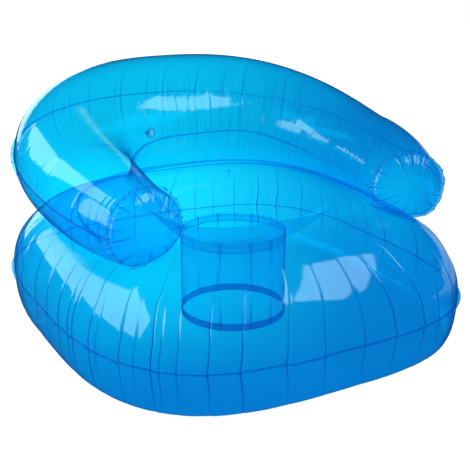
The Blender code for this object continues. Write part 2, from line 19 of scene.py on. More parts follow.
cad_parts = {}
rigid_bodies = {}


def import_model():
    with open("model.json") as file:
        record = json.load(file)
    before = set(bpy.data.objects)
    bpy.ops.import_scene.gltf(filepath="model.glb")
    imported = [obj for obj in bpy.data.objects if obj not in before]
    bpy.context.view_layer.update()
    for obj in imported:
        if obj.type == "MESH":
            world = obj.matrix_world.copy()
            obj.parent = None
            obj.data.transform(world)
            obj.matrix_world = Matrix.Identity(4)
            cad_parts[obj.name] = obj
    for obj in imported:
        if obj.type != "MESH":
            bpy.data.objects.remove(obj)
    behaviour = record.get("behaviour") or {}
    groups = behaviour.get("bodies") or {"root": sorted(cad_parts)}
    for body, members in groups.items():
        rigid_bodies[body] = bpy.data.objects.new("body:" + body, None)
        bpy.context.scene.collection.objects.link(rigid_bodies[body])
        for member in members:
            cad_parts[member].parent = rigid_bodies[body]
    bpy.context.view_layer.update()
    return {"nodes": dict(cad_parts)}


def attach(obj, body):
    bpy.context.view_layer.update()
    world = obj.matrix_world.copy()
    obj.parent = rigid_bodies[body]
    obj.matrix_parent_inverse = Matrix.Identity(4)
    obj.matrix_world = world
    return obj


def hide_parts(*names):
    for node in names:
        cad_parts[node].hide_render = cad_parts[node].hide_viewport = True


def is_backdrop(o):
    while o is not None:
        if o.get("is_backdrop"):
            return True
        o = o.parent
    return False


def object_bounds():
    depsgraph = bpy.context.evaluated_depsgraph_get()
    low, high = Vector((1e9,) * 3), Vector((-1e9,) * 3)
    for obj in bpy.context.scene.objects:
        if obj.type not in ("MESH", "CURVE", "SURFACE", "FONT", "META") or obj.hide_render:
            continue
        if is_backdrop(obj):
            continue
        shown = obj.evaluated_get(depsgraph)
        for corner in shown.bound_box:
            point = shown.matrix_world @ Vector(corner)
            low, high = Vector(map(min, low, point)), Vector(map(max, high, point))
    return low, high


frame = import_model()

scene = bpy.context.scene

# %% [markdown]
# ## Camera
#
# The camera stands in front of the sitter's right arm and looks a little down. Its place and lens come
# from lining the model's outline up with the photograph's. Blender gives a lens by its focal length on
# a 36 mm wide sensor, so a focal length in pixels is turned into millimetres first. The optical axis
# meets the picture slightly under its middle, and the lens shift says how much of the picture that is.

# %% Place the camera
picture_pixels = 470
sensor_width = 36.0
focal_pixels = 806.9
axis_below_middle_pixels = 7.04
camera_bearing = math.radians(28.3143)
camera_distance = 1.9746
camera_height = 0.8567
camera_dip = math.radians(18.951)
aim_aside = 0.0215

camera = bpy.data.objects.new("photo_camera", bpy.data.cameras.new("photo_camera"))
camera.data.sensor_width = sensor_width
camera.data.lens = focal_pixels / picture_pixels * sensor_width
camera.data.shift_y = axis_below_middle_pixels / picture_pixels
camera.location = (
    -camera_distance * math.sin(camera_bearing),
    -camera_distance * math.cos(camera_bearing),
    camera_height,
)
heading = math.atan2(aim_aside - camera.location.x, -camera.location.y)
look = Vector((math.sin(heading), math.cos(heading), -math.tan(camera_dip)))
camera.rotation_euler = look.to_track_quat("-Z", "Y").to_euler()
scene.collection.objects.link(camera)
scene.camera = camera
print("lens in mm", round(camera.data.lens, 2), "heading in degrees", round(math.degrees(heading), 2))

# %% [markdown]
# ## One helper for every node
#
# Materials and Geometry Nodes trees are both graphs of nodes, and a script builds them the same way:
# make a node, set its options, then give each input a plain value or a link from another node. One
# function does that for every kind of node. Sums need many Math nodes, so each tree keeps its numbers
# by name and works through a list of rows: the name of a result, the name that it starts from, and the
# steps, each an operation and its other term, which is a number or again a name. Colours are written
# as the hex codes that a colour picker shows, and one more function turns such a code into the linear
# numbers that Blender works with.

# %% Node helper and colour helper
def add_node(tree, kind, inputs=None, **settings):
    """Adds one node. inputs maps a socket's name or number to a value or to another node's output."""
    node = tree.nodes.new(kind)
    for name, value in settings.items():
        setattr(node, name, value)
    for socket, value in (inputs or {}).items():
        if isinstance(value, bpy.types.NodeSocket):
            tree.links.new(value, node.inputs[socket])
        else:
            node.inputs[socket].default_value = value
    return node


def linear(code):
    """An sRGB hex code as linear red, green, blue and alpha."""
    parts = [int(code[i : i + 2], 16) / 255.0 for i in (0, 2, 4)]
    return [part / 12.92 if part <= 0.04045 else ((part + 0.055) / 1.055) ** 2.4 for part in parts] + [1.0]


white = linear("FFFFFF")
print("a hex code in linear numbers:", [round(part, 3) for part in linear("00BFF2")])

# %% [markdown]
# ## Clear blue PVC film
#
# The film is plasticised PVC, calendered: rolled flat between hot steel rolls, so both faces are
# glossy. It is 0.4 mm thick and dyed right through, and the eye gets three things from it. Light that
# passes straight through takes the dye's colour, and more of it where the line of sight runs along the
# film; right at the edge this deep blue is also a painted dark reflection. The gloss mirrors the lamps,
# more strongly at a glancing angle. A little light is scattered, as in any soft PVC. A glass shader
# would bend every ray and turn so many thin walls noisy, so a tinted Transparent shader carries the
# light through, and a Layer Weight sets how much gloss lies over it. Each film is a closed shell with
# two faces, so one face takes half of the film's colour.
# Three numbers that each piece keeps on its points change the look from place to place: quiet where
# two films lie tight together, crease where the film is pinched, with painted shade in the fold, or below 0
# where it is stretched or carries a painted highlight, and milky where it is bunched into fine puckers,
# which on the arm's stripe also paints pale highlight strokes. A piece without one of them counts as 0 there.

# %% Make the film materials
film_stretched_and_highlight_tint = linear("BCFDFF")
film_scatter = linear("00BCFF")
milky_and_highlight_share = 0.07
mirror_fade = 8.0
ripple_scale = 24.0


def clear_film(name, tints, gloss_shares, scatter_share, roughness, ripple_mm):
    """A dyed, glossy film face. tints: seen straight, at a slant, along it (with painted dark reflection) and
    in a crease (with painted shade).
    """
    straight, slanting, along, creased = (linear(tint) for tint in tints)
    gloss_straight, gloss_glancing = gloss_shares
    material = bpy.data.materials.new(name)
    material.use_nodes = True
    tree = material.node_tree
    tree.nodes.clear()
    terms = {"facing": add_node(tree, "ShaderNodeLayerWeight", {"Blend": 0.5}).outputs["Facing"]}
    for label in ("quiet", "crease", "milky"):
        terms[label] = add_node(tree, "ShaderNodeAttribute", attribute_name=label).outputs["Fac"]
    for result, start, steps in (
        ("slant", "facing", (("POWER", 2.2),)),
        # Where two films lie tight together nothing is mirrored, and the edge-on look fades.
        ("lively", "quiet", (("MULTIPLY", -1.0), ("ADD", 1.0))),
        ("mirrors", "lively", (("MULTIPLY", mirror_fade), ("MINIMUM", 1.0))),
        # Edge-on the film looks deep blue: partly its dye seen along it, partly a painted dark reflection.
        ("rim", "facing", (("POWER", 10.0), ("MULTIPLY", "lively"))),
        # Pinched into a fold the film lies double and its dye looks deeper, with painted shade in the fold.
        # Stretched, it looks paler; the same paler tint is a painted highlight beside a fold and on the
        # stripe's strokes.
        ("stretched_and_highlight", "crease", (("MULTIPLY", -1.0),)),
        ("glancing", "facing", (("POWER", 5.0), ("MULTIPLY", gloss_glancing - gloss_straight))),
        ("gloss", "glancing", (("MULTIPLY", "lively"), ("ADD", gloss_straight), ("MULTIPLY", "mirrors"))),
        # Bunched into fine puckers the film turns milky, as its many small faces scatter light; on the arm's
        # stripe this whiteness is also a painted highlight.
        ("scatter", "milky", (("MULTIPLY", milky_and_highlight_share), ("ADD", scatter_share))),
    ):
        value = terms[start]
        for operation, term in steps:
            inputs = {0: value, 1: terms.get(term, term)}
            value = add_node(tree, "ShaderNodeMath", inputs, operation=operation).outputs[0]
        terms[result] = value
    dye = straight
    tints_by_share = {"slant": slanting, "rim": along, "crease": creased, "stretched_and_highlight": film_stretched_and_highlight_tint}
    for share, tint in tints_by_share.items():
        inputs = {"Factor": terms[share], 6: dye, 7: tint}
        dye = add_node(tree, "ShaderNodeMix", inputs, data_type="RGBA").outputs[2]
    through = add_node(tree, "ShaderNodeBsdfTransparent", {"Color": dye}).outputs[0]
    inputs = {"Factor": terms["milky"], 6: film_scatter, 7: white}
    scattered = add_node(tree, "ShaderNodeMix", inputs, data_type="RGBA").outputs[2]
    front = add_node(tree, "ShaderNodeBsdfDiffuse", {"Color": scattered}).outputs[0]
    back = add_node(tree, "ShaderNodeBsdfTranslucent", {"Color": scattered}).outputs[0]
    haze = add_node(tree, "ShaderNodeMixShader", {0: 0.5, 1: front, 2: back}).outputs[0]
    # Rolled film blown up tight keeps long soft ripples of about 40 mm, a fraction of a millimetre deep.
    place = add_node(tree, "ShaderNodeTexCoord").outputs["Object"]
    ripple = add_node(tree, "ShaderNodeTexNoise", {"Vector": place, "Scale": ripple_scale, "Detail": 2.0})
    bump = add_node(tree, "ShaderNodeBump", {"Height": ripple.outputs["Fac"], "Distance": 0.001 * ripple_mm})
    inputs = {"Color": white, "Roughness": roughness, "Normal": bump.outputs[0]}
    gloss = add_node(tree, "ShaderNodeBsdfGlossy", inputs).outputs[0]
    body = add_node(tree, "ShaderNodeMixShader", {0: terms["scatter"], 1: through, 2: haze}).outputs[0]
    face = add_node(tree, "ShaderNodeMixShader", {0: terms["gloss"], 1: body, 2: gloss}).outputs[0]
    add_node(tree, "ShaderNodeOutputMaterial", {"Surface": face})
    return material


calendered_tints = ("7CF3FD", "61EFFC", "0A86D6", "30B4E8")
calendered_film = clear_film("calendered_clear_pvc", calendered_tints, (0.03, 0.42), 0.08, 0.07, 0.3)
# The sleeve and its disc are of thinner film. The strip is two films thick, so its dye looks twice as deep.
sleeve_tints = ("A4F9FE", "8CF6FD", "1590DA", "30B4E8")
thin_film = clear_film("thin_sleeve_pvc", sleeve_tints, (0.02, 0.06), 0.06, 0.07, 0.2)
disc_tints = ("C8FCFF", "BCFBFF", "3CB4EA", "30B4E8")
disc_film = clear_film("thin_disc_pvc", disc_tints, (0.02, 0.06), 0.05, 0.07, 0.2)
strip_tints = ("38E7FB", "20E0F9", "0A86D6", "30B4E8")
doubled_film = clear_film("doubled_strip_pvc", strip_tints, (0.03, 0.12), 0.08, 0.22, 0.2)
print("made", calendered_film.name, "with", len(calendered_film.node_tree.nodes), "nodes")

# %% [markdown]
# ## Welded seams
#
# A seam is two films fused by a high-frequency press. Along the line where the films leave the weld the
# eye looks into the fold between them, which draws a thin dark line. The flange outside it is nearly as
# clear as one film. The press's ribbed jaw leaves fine bars across it that make it less glossy. The
# real bars are about 1.5 mm apart, finer than a pixel here, so they are drawn 3 mm apart. The pattern
# reads the seam's own attribute, its length in metres, so that it follows every curve.

# %% Make the weld material
weld_tints = ("B4F8FE", "A4F5FD", "3CB4EA", "2A90DA")
weld_bar_spacing = 0.003
weld_bar_depth = 0.00015

pressed_weld = clear_film("pressed_weld_pvc", weld_tints, (0.03, 0.12), 0.08, 0.22, 0.2)
tree = pressed_weld.node_tree
bars = add_node(tree, "ShaderNodeAttribute", attribute_name="along").outputs["Fac"]
for operation, term in (("MULTIPLY", math.tau / weld_bar_spacing), ("SINE", 0.0)):
    bars = add_node(tree, "ShaderNodeMath", {0: bars, 1: term}, operation=operation).outputs[0]
ripple_bump, gloss = (
    next(node for node in tree.nodes if node.type == kind) for kind in ("BUMP", "BSDF_GLOSSY")
)
inputs = {"Height": bars, "Distance": weld_bar_depth, "Normal": ripple_bump.outputs[0]}
tree.links.new(add_node(tree, "ShaderNodeBump", inputs).outputs[0], gloss.inputs["Normal"])
print("made", pressed_weld.name, "with", len(tree.nodes), "nodes")

# %% [markdown]
# ## Sizes from the CAD model
#
# The new films lie exactly where the CAD sheets lie, so the same measures shape both. They are in
# metres. The outline of the seat is a rounded square, the crescent's line is part of a rounded square
# too, and the rest are heights and radii along them.

# %% Name the sizes
film_thickness = 0.0004
seam_thickness = 0.0008
fin_width = 0.008
fin_tuck = 0.002
clearance = 0.0003

seat_half_width = 0.500
seat_half_depth = 0.535
seat_squareness = 3.18
seat_rear_flare_share = 0.028
rim_height = 0.106
crown_height = 0.3165
crown_reach_share = 0.508
floor_reach_share = 0.947
floor_turn_fullness = 0.83
dish_height = 0.227

sleeve_radius = 0.134
sleeve_forward = 0.037
sleeve_weld_height = 0.018
sleeve_weld_drop = 0.006
disc_sag = 0.006

back_half_span = 0.379
back_centre_y = 0.3265
back_height = 0.467
arm_end_height = 0.349
arm_reach = 0.390
back_squareness = 2.556
arm_wrap = math.radians(119.0)
height_fade = 0.66
back_radius = 0.172
arm_end_radius = 0.092
radius_fade = 0.544
tube_height_share = 0.90
seam_tilt = math.radians(10.0)

cap_bulge_share = 0.27
cap_outward = math.radians(11.0)
cap_upward = math.radians(7.7)
cap_turn_share = 0.25
contact_gap = 0.008
contact_softness = 0.020
contact_fade_share = 0.5
strip_reach_share = 0.80
strip_clearance = 0.0006
pressed_flat = 0.0016
valve_hole_radius = 0.0074
print("the seat is", 2.0 * seat_half_width, "m wide and", 2.0 * seat_half_depth, "m deep")

# %% [markdown]
# ## The seat's form
#
# Seen from above the rim is a rounded square. From it the upper film rises over a quarter ellipse to
# the crown, and then falls in a soft wave into the dish. Rings between the rim and the sleeve slide
# forward step by step, because the sleeve sits in front of the middle. NumPy works on whole arrays of
# points at once, which keeps a sheet of fifty thousand points quick to make.

# %% Shape functions of the seat
def outline_radius(angle):
    """The rounded square of the seat's rim, seen from above."""
    across = np.abs(np.cos(angle) / seat_half_width) ** seat_squareness
    along = np.abs(np.sin(angle) / seat_half_depth) ** seat_squareness
    return (across + along) ** (-1.0 / seat_squareness)


def seat_place(radius, angle):
    """Plan place of points, in rings that move from the rim's centre to the sleeve's."""
    share = radius / outline_radius(angle)
    y = radius * np.sin(angle)
    x = radius * np.cos(angle) * (1.0 + seat_rear_flare_share * share**2 * y / seat_half_depth)
    return x, y - sleeve_forward * (1.0 - share)


def seat_ring(x, y):
    """Radius and angle of the seat's rings at plan places, by a few rounds of correction."""
    share = 0.5
    for _ in range(8):
        ring_y = y + sleeve_forward * (1.0 - share)
        ring_x = x / (1.0 + seat_rear_flare_share * share**2 * ring_y / seat_half_depth)
        angle = np.arctan2(ring_y, ring_x)
        radius = np.hypot(ring_x, ring_y)
        share = radius / outline_radius(angle)
    return radius, angle


def seat_height(x, y):
    """Height of the seat's top before the tube presses on it."""
    radius, angle = seat_ring(x, y)
    rim = outline_radius(angle)
    crown = crown_reach_share * rim
    across = np.clip((radius - crown) / (rim - crown), 0.0, 1.0)
    side = rim_height + (crown_height - rim_height) * np.sqrt(1.0 - across**2)
    inward = np.clip((crown - radius) / (crown - sleeve_radius), 0.0, 1.0)
    dish = dish_height + (crown_height - dish_height) * 0.5 * (1.0 + np.cos(math.pi * inward))
    height = np.where(radius >= crown, side, dish)
    return np.where(radius >= rim, rim_height - (radius - rim), height)


def smooth_step(value):
    """0 below 0, 1 above 1, and a smooth turn between."""
    held = np.clip(value, 0.0, 1.0)
    return held * held * (3.0 - 2.0 * held)


print("the seat's top is", round(float(seat_height(0.0, 0.2)), 4), "m high at y 0.2")

# %% [markdown]
# ## The crescent's form
#
# The back tube follows one line that rises and swells towards the middle of the back. A section is
# known by its centre and three directions: out of the crescent, up, and along. The last quarter of each
# arm turns a little outwards and upwards with its end disc. Where the tube rests on the seat the two
# films press each other flat: both move by half of the overlap, with a soft start.

# %% Shape functions of the crescent
line_turn = np.linspace(-1.0, 1.0, 1441)
line_rise = 0.5 * (1.0 + np.cos(math.pi * line_turn))
sines, cosines = np.sin(line_turn * arm_wrap), np.cos(line_turn * arm_wrap)
line_power = 2.0 / back_squareness
line_centres = np.stack(
    [
        back_half_span * np.sign(sines) * np.abs(sines) ** line_power,
        back_centre_y - arm_reach * (1.0 - np.sign(cosines) * np.abs(cosines) ** line_power),
        arm_end_height + (back_height - arm_end_height) * line_rise**height_fade,
    ],
    axis=1,
)
line_radii = arm_end_radius + (back_radius - arm_end_radius) * line_rise**radius_fade
line_steps = np.linalg.norm(np.diff(line_centres, axis=0), axis=1)
line_lengths = np.concatenate([[0.0], np.cumsum(line_steps)])
line_directions = np.gradient(line_centres, line_lengths, axis=0)
line_end = float(line_lengths[-1])


def unit(vectors):
    """The same directions with length 1."""
    return vectors / np.linalg.norm(vectors, axis=-1, keepdims=True)


def dot(first, second):
    """Dot products, one to a row."""
    return np.sum(first * second, axis=-1, keepdims=True)


def tube_sections(lengths):
    """Centres, outward, upward and facing directions, and radii, at lengths along the line."""
    centre = np.stack([np.interp(lengths, line_lengths, line_centres[:, i]) for i in range(3)], axis=-1)
    along = np.stack([np.interp(lengths, line_lengths, line_directions[:, i]) for i in range(3)], axis=-1)
    along = unit(along)
    radius, rise, turn = (
        np.interp(lengths, line_lengths, values)[:, None] for values in (line_radii, line_rise, line_turn)
    )
    outward = unit(np.cross(along, (0.0, 0.0, 1.0)))
    from_middle = centre - (0.0, back_centre_y - arm_reach, 0.0)
    outward *= np.sign(dot(outward[:, :2], from_middle[:, :2]))
    upward = np.cross(along, outward)
    upward *= np.sign(upward[:, 2:])
    tilt = seam_tilt * rise
    outward, upward = (
        outward * np.cos(tilt) + upward * np.sin(tilt),
        upward * np.cos(tilt) - outward * np.sin(tilt),
    )
    facing = along * np.where(turn < 0.0, -1.0, 1.0)
    share = smooth_step((np.abs(turn) - 1.0 + cap_turn_share) / cap_turn_share)
    facing = facing * np.cos(cap_outward * share) + outward * np.sin(cap_outward * share)
    facing = unit(facing * np.cos(cap_upward * share) + upward * np.sin(cap_upward * share))
    outward = unit(outward - facing * dot(outward, facing))
    upward = np.cross(facing, outward)
    upward *= np.sign(upward[:, 2:])
    return centre, outward, upward, facing, radius


def tube_underside(x, y):
    """Height of the tube's lower surface over plan places, before the seat lifts it."""
    places = np.stack([x, y], axis=-1)
    nearest = np.concatenate(
        [
            np.argmin(((part[:, None, :] - line_centres[None, :, :2]) ** 2).sum(axis=-1), axis=1)
            for part in np.array_split(places, max(len(places) // 4000, 1))
        ]
    )
    offset = places - line_centres[nearest, :2]
    direction = unit(line_directions[nearest, :2])
    along = np.sum(offset * direction, axis=-1)
    across = offset[:, 1] * direction[:, 0] - offset[:, 0] * direction[:, 1]
    at_end = (nearest == 0) | (nearest == len(line_radii) - 1)
    distance = np.hypot(np.where(at_end, along / cap_bulge_share, along), across)
    end_share = smooth_step((np.abs(line_turn[nearest]) - 1.0 + cap_turn_share) / cap_turn_share)
    radius = line_radii[nearest] + fin_width * end_share
    drop = tube_height_share * np.sqrt(np.maximum(radius**2 - distance**2, 0.0))
    return line_centres[nearest, 2] - np.where(distance < radius, drop, radius - distance)


def soft_excess(value):
    """What is over zero, with a soft start."""
    return 0.5 * (value + np.hypot(value, contact_softness))


def press_seat(x, y, height):
    """The seat's film, pushed down where the tube lies on it."""
    flat = [np.ravel(values) for values in (x, y, height)]
    overlap = flat[2] - tube_underside(flat[0], flat[1]) + contact_gap
    return (flat[2] - 0.5 * soft_excess(overlap)).reshape(np.shape(height))


def lift_tube(points, downward_share):
    """The tube's film, pushed up where it lies on the seat. Its seams stay where they are."""
    overlap = seat_height(points[..., 0], points[..., 1]) - points[..., 2] + contact_gap
    lift = 0.5 * soft_excess(overlap) * smooth_step(downward_share / contact_fade_share)
    return points + lift[..., None] * np.array((0.0, 0.0, 1.0))


print("the crescent's line is", round(line_end, 3), "m long")

# %% [markdown]
# ## A tree that gathers film along a weld
#
# A sheet cut flat and blown up round has too much length at its edge, and the weld takes it up in
# gathers: short fine puckers a few millimetres apart, and now and then a long sharp fold that runs far
# over the film. Both repeat along every weld of this chair, so one Geometry Nodes tree makes them, and
# each sheet only says how deep, wide and long its own are. The tree reads numbers that are kept at each
# point of a sheet: how far along the weld it lies, how far away from it, how far from the nearest fold,
# that fold's size, and how far the panel between two folds stands out. A one-dimensional Voronoi
# texture scatters the puckers, and its seed is fixed. How sharply the film is pinched is kept as the
# crease number for the material. The plain numbers in the rows shape the curves of a fold, a pillow
# and a pucker, and were found by trying.

# %% Build the gathering tree
ridge_offset, ridge_share = 1.9, 0.45
pillow_width = 0.018
lean_reach_share = 0.65
fold_crease_strength, pucker_crease_strength = 560.0, 280.0

gather = bpy.data.node_groups.new("gathered_film", "GeometryNodeTree")
gather_sizes = {
    "Film": ("NodeSocketGeometry", None),
    "Along": ("NodeSocketString", "along"),
    "Away": ("NodeSocketString", "away"),
    "Fold depth": ("NodeSocketFloat", 0.0),
    "Fold width": ("NodeSocketFloat", 0.004),
    "Fold reach": ("NodeSocketFloat", 0.15),
    "Pillow depth": ("NodeSocketFloat", 0.0),
    "Pucker depth": ("NodeSocketFloat", 0.0),
    "Pucker spacing": ("NodeSocketFloat", 0.007),
    "Pucker reach": ("NodeSocketFloat", 0.03),
    "Seed": ("NodeSocketFloat", 1.0),
    "Finish": ("NodeSocketMaterial", None),
}
for label, (kind, value) in gather_sizes.items():
    socket = gather.interface.new_socket(label, in_out="INPUT", socket_type=kind)
    if value is not None:
        socket.default_value = value
gather.interface.new_socket("Film", in_out="OUTPUT", socket_type="NodeSocketGeometry")

size = add_node(gather, "NodeGroupInput").outputs
terms = {socket.name: socket for socket in size}
for label, name in (
    ("along", size["Along"]), ("away", size["Away"]), ("fold", "fold"), ("fold size", "fold_size"),
    ("lean", "lean"), ("crease before", "crease"),
):
    field = add_node(gather, "GeometryNodeInputNamedAttribute", {"Name": name}, data_type="FLOAT")
    terms[label] = field.outputs["Attribute"]

# Each cell of the texture is one pucker, with its own depth and length.
cells = terms["along"]
for operation, term in (("DIVIDE", size["Pucker spacing"]), ("ADD", size["Seed"])):
    cells = add_node(gather, "ShaderNodeMath", {0: cells, 1: term}, operation=operation).outputs[0]
inputs = {"W": cells, "Scale": 1.0, "Randomness": 0.85}
voronoi = add_node(gather, "ShaderNodeTexVoronoi", inputs, voronoi_dimensions="1D", feature="F1")
chance = add_node(gather, "FunctionNodeSeparateColor", {"Color": voronoi.outputs["Color"]})
terms["middle distance"] = voronoi.outputs["Distance"]
terms["length chance"], terms["depth chance"] = chance.outputs[:2]

for result, start, steps in (
    # A fold is a narrow valley with a softer ridge on one side, and fades away from the weld.
    ("across", "fold", (("DIVIDE", "Fold width"),)),
    ("valley", "across", (("ABSOLUTE", 0.0), ("POWER", 1.4), ("MULTIPLY", -1.0), ("EXPONENT", 0.0))),
    ("beside", "across", (("SUBTRACT", ridge_offset), ("ABSOLUTE", 0.0), ("POWER", 2.0))),
    ("ridge", "beside", (("MULTIPLY", -0.7), ("EXPONENT", 0.0), ("MULTIPLY", ridge_share))),
    ("own reach", "fold size", (("MULTIPLY", "Fold reach"), ("ADD", 0.0001))),
    ("fade", "away", (("DIVIDE", "own reach"), ("POWER", 2.0), ("MULTIPLY", -1.0), ("EXPONENT", 0.0))),
    ("fade", "fade", (("MULTIPLY", "fold size"),)),
    ("folds", "ridge", (("SUBTRACT", "valley"), ("MULTIPLY", "fade"), ("MULTIPLY", "Fold depth"))),
    # Between two folds the film swells like a pillow, so near a fold it lies a little deeper.
    ("pillow fade", "away", (("DIVIDE", "Fold reach"), ("MULTIPLY", -2.0), ("EXPONENT", 0.0))),
    ("pillow", "fold", (("ABSOLUTE", 0.0), ("DIVIDE", -pillow_width), ("EXPONENT", 0.0))),
    ("pillow", "pillow", (("MULTIPLY", "Pillow depth"), ("MULTIPLY", "pillow fade"))),
    # A pucker is a dent in the middle of its cell.
    ("dent", "middle distance", (("MULTIPLY", 2.6), ("POWER", 2.0), ("MULTIPLY", -1.0), ("EXPONENT", 0.0))),
    ("reach", "length chance", (("POWER", 2.0), ("MULTIPLY", 1.7), ("ADD", 0.35))),
    ("reach", "reach", (("MULTIPLY", "Pucker reach"),)),
    ("pucker fade", "away", (("DIVIDE", "reach"), ("POWER", 1.5), ("MULTIPLY", -1.0), ("EXPONENT", 0.0))),
    ("pucker size", "depth chance", (("MULTIPLY", 0.8), ("ADD", 0.4))),
    ("pucker size", "pucker size", (("MULTIPLY", "pucker fade"), ("MULTIPLY", "Pucker depth"))),
    ("puckers", "dent", (("MULTIPLY", "pucker size"),)),
    # A panel's lean fades with its distance from the weld too.
    ("lean fade", "away", (("DIVIDE", "Fold reach"), ("MULTIPLY", lean_reach_share), ("POWER", 2.0))),
    ("lean fade", "lean fade", (("MULTIPLY", -1.0), ("EXPONENT", 0.0), ("MULTIPLY", "lean"))),
    ("height", "folds", (("SUBTRACT", "pillow"), ("SUBTRACT", "puckers"), ("ADD", "lean fade"))),
    # The crease number is added to what an earlier pass of the tree kept.
    # The crease number paints shade into folds and dents, over the doubled film's deeper dye, and below 0, on
    # a fold's ridge or an outward pucker, a painted highlight.
    ("sharp dent", "dent", (("POWER", 3.0), ("MULTIPLY", "pucker size"))),
    ("sharp dent", "sharp dent", (("MULTIPLY", pucker_crease_strength),)),
    ("pinch", "valley", (("POWER", 1.5), ("SUBTRACT", "ridge"), ("MULTIPLY", "fade"))),
    ("pinch", "pinch", (("MULTIPLY", "Fold depth"), ("MULTIPLY", fold_crease_strength))),
    ("pinch", "pinch", (("ADD", "sharp dent"), ("ADD", "crease before"))),
):
    value = terms[start]
    for operation, term in steps:
        inputs = {0: value, 1: terms.get(term, term)}
        value = add_node(gather, "ShaderNodeMath", inputs, operation=operation).outputs[0]
    terms[result] = value

normal = add_node(gather, "GeometryNodeInputNormal").outputs[0]
push = add_node(gather, "ShaderNodeVectorMath", {0: normal, "Scale": terms["height"]}, operation="SCALE")
film = add_node(gather, "GeometryNodeSetPosition", {"Geometry": size["Film"], "Offset": push.outputs[0]})
inputs = {"Geometry": film.outputs[0], "Name": "crease", "Value": terms["pinch"]}
film = add_node(gather, "GeometryNodeStoreNamedAttribute", inputs, data_type="FLOAT", domain="POINT")
film = add_node(gather, "GeometryNodeRealizeInstances", {"Geometry": film.outputs[0]})
inputs = {"Geometry": film.outputs[0], "Material": size["Finish"]}
film = add_node(gather, "GeometryNodeSetMaterial", inputs)
add_node(gather, "NodeGroupOutput", {0: film.outputs[0]})
print("the gathering tree has", len(gather.nodes), "nodes")

# %% [markdown]
# ## From rows of points to a film piece
#
# Every film starts as a grid of points, row by row away from its weld. One function joins the rows with
# faces and keeps the numbers for the tree as attributes. A second one runs the tree, then a Solidify
# modifier that gives the film its real 0.4 mm, and keeps the result as a plain mesh. The film's outer
# face stays on the points, and the wall grows into the chamber. A third only writes down how deep,
# wide and long the folds and puckers of one weld are, so that each film says so in one line. Every
# piece rides on the chair's body and replaces one CAD node.

# %% Grid and piece helpers
hole_reach_share = 1.35
sharp_edge = math.radians(60.0)
sheet = {"wall": film_thickness, "slot": "blue_film"}
seam = {"wall": seam_thickness, "slot": "welded_seam"}


def film_grid(points, numbers, round_path, pole=None, flip=False, hole=None):
    """A sheet through rows of points. pole closes the last row to one point, hole is where a valve passes."""
    rows, columns = points.shape[:2]
    index = np.arange(rows * columns).reshape(rows, columns)
    if round_path:
        index = np.concatenate([index, index[:, :1]], axis=1)
    corners = [index[:-1, :-1], index[:-1, 1:], index[1:, 1:], index[1:, :-1]]
    faces = np.stack(corners, axis=-1).reshape(-1, 4).tolist()
    places = points.reshape(-1, 3)
    spread = {label: np.broadcast_to(values, (rows, columns)) for label, values in numbers.items()}
    numbers = {label: values.reshape(-1) for label, values in spread.items()}
    if pole is not None:
        tip = len(places)
        places = np.vstack([places, pole])
        faces += [(int(a), int(b), tip) for a, b in zip(index[-1, :-1], index[-1, 1:])]
        numbers = {label: np.append(values, values[-1]) for label, values in numbers.items()}
    if hole is not None:
        offsets = places - hole
        distances = np.linalg.norm(offsets, axis=1)
        inside = distances < hole_reach_share * valve_hole_radius
        faces = [face for face in faces if not all(inside[corner] for corner in face)]
        places = places.copy()
        places[inside] = hole + offsets[inside] / distances[inside, None] * valve_hole_radius
        used = sorted({corner for face in faces for corner in face})
        number_of = {corner: number for number, corner in enumerate(used)}
        faces = [tuple(number_of[corner] for corner in face) for face in faces]
        places = places[used]
        numbers = {label: values[used] for label, values in numbers.items()}
    if flip:
        faces = [tuple(reversed(face)) for face in faces]
    mesh = bpy.data.meshes.new("film_grid")
    mesh.from_pydata(places.tolist(), [], faces)
    for label, values in numbers.items():
        attribute = mesh.attributes.new(label, "FLOAT", "POINT")
        attribute.data.foreach_set("value", np.ascontiguousarray(values, np.float32))
    mesh.shade_smooth()
    return mesh


def make_piece(name, node, mesh, finish, runs, wall, slot, centred=False):
    """Gathers a mesh once for each of the runs, gives it its wall, and puts it in place of a CAD node."""
    rough = bpy.data.objects.new(f"{name}_rough", mesh)
    scene.collection.objects.link(rough)
    for sizes in runs:
        modifier = rough.modifiers.new("gather", "NODES")
        modifier.node_group = gather
        values = {**sizes, "Finish": finish}
        for item in gather.interface.items_tree:
            if item.in_out == "INPUT" and item.name in values:
                modifier[item.identifier] = values[item.name]
    solid = rough.modifiers.new("wall", "SOLIDIFY")
    solid.thickness = wall
    solid.offset = 0.0 if centred else -1.0
    bpy.context.view_layer.update()
    graph = bpy.context.evaluated_depsgraph_get()
    made = bpy.data.meshes.new_from_object(rough.evaluated_get(graph))
    bpy.data.objects.remove(rough)
    made.name = name
    made.set_sharp_from_angle(angle=sharp_edge)
    piece = bpy.data.objects.new(name, made)
    scene.collection.objects.link(piece)
    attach(piece, "chair")
    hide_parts(node)
    print(name, "has", sum(len(face.vertices) - 2 for face in made.polygons), "triangles")


def gathers(fold=(0.0, 0.004, 0.15), pucker=(0.0, 0.007, 0.03), pillow=0.0, seed=1.0, **names):
    """Sizes for one run of the tree: folds by depth, width and reach, puckers by depth, spacing and reach."""
    labels = ("Fold depth", "Fold width", "Fold reach", "Pucker depth", "Pucker spacing", "Pucker reach")
    return {**dict(zip(labels, fold + pucker)), "Pillow depth": pillow, "Seed": seed, **names}


def row_distance(points):
    """How far each point lies from the first row, measured over the film."""
    steps = np.linalg.norm(np.diff(points, axis=0), axis=-1)
    return np.concatenate([np.zeros((1, points.shape[1])), np.cumsum(steps, axis=0)])


print("a run of the tree takes", len(gathers()), "sizes")

# %% [markdown]
# ## Where the long folds lie
#
# Round the seat's rim a long fold comes every few centimetres. Those in front are placed by angle as the
# photograph shows them, and a seeded generator scatters the rest. A grid of even columns would be too
# coarse to draw a sharp fold, so each fold brings its own close columns with it. The columns lean and
# sway a little as they rise, and a fold, which is always one column, leans with them.

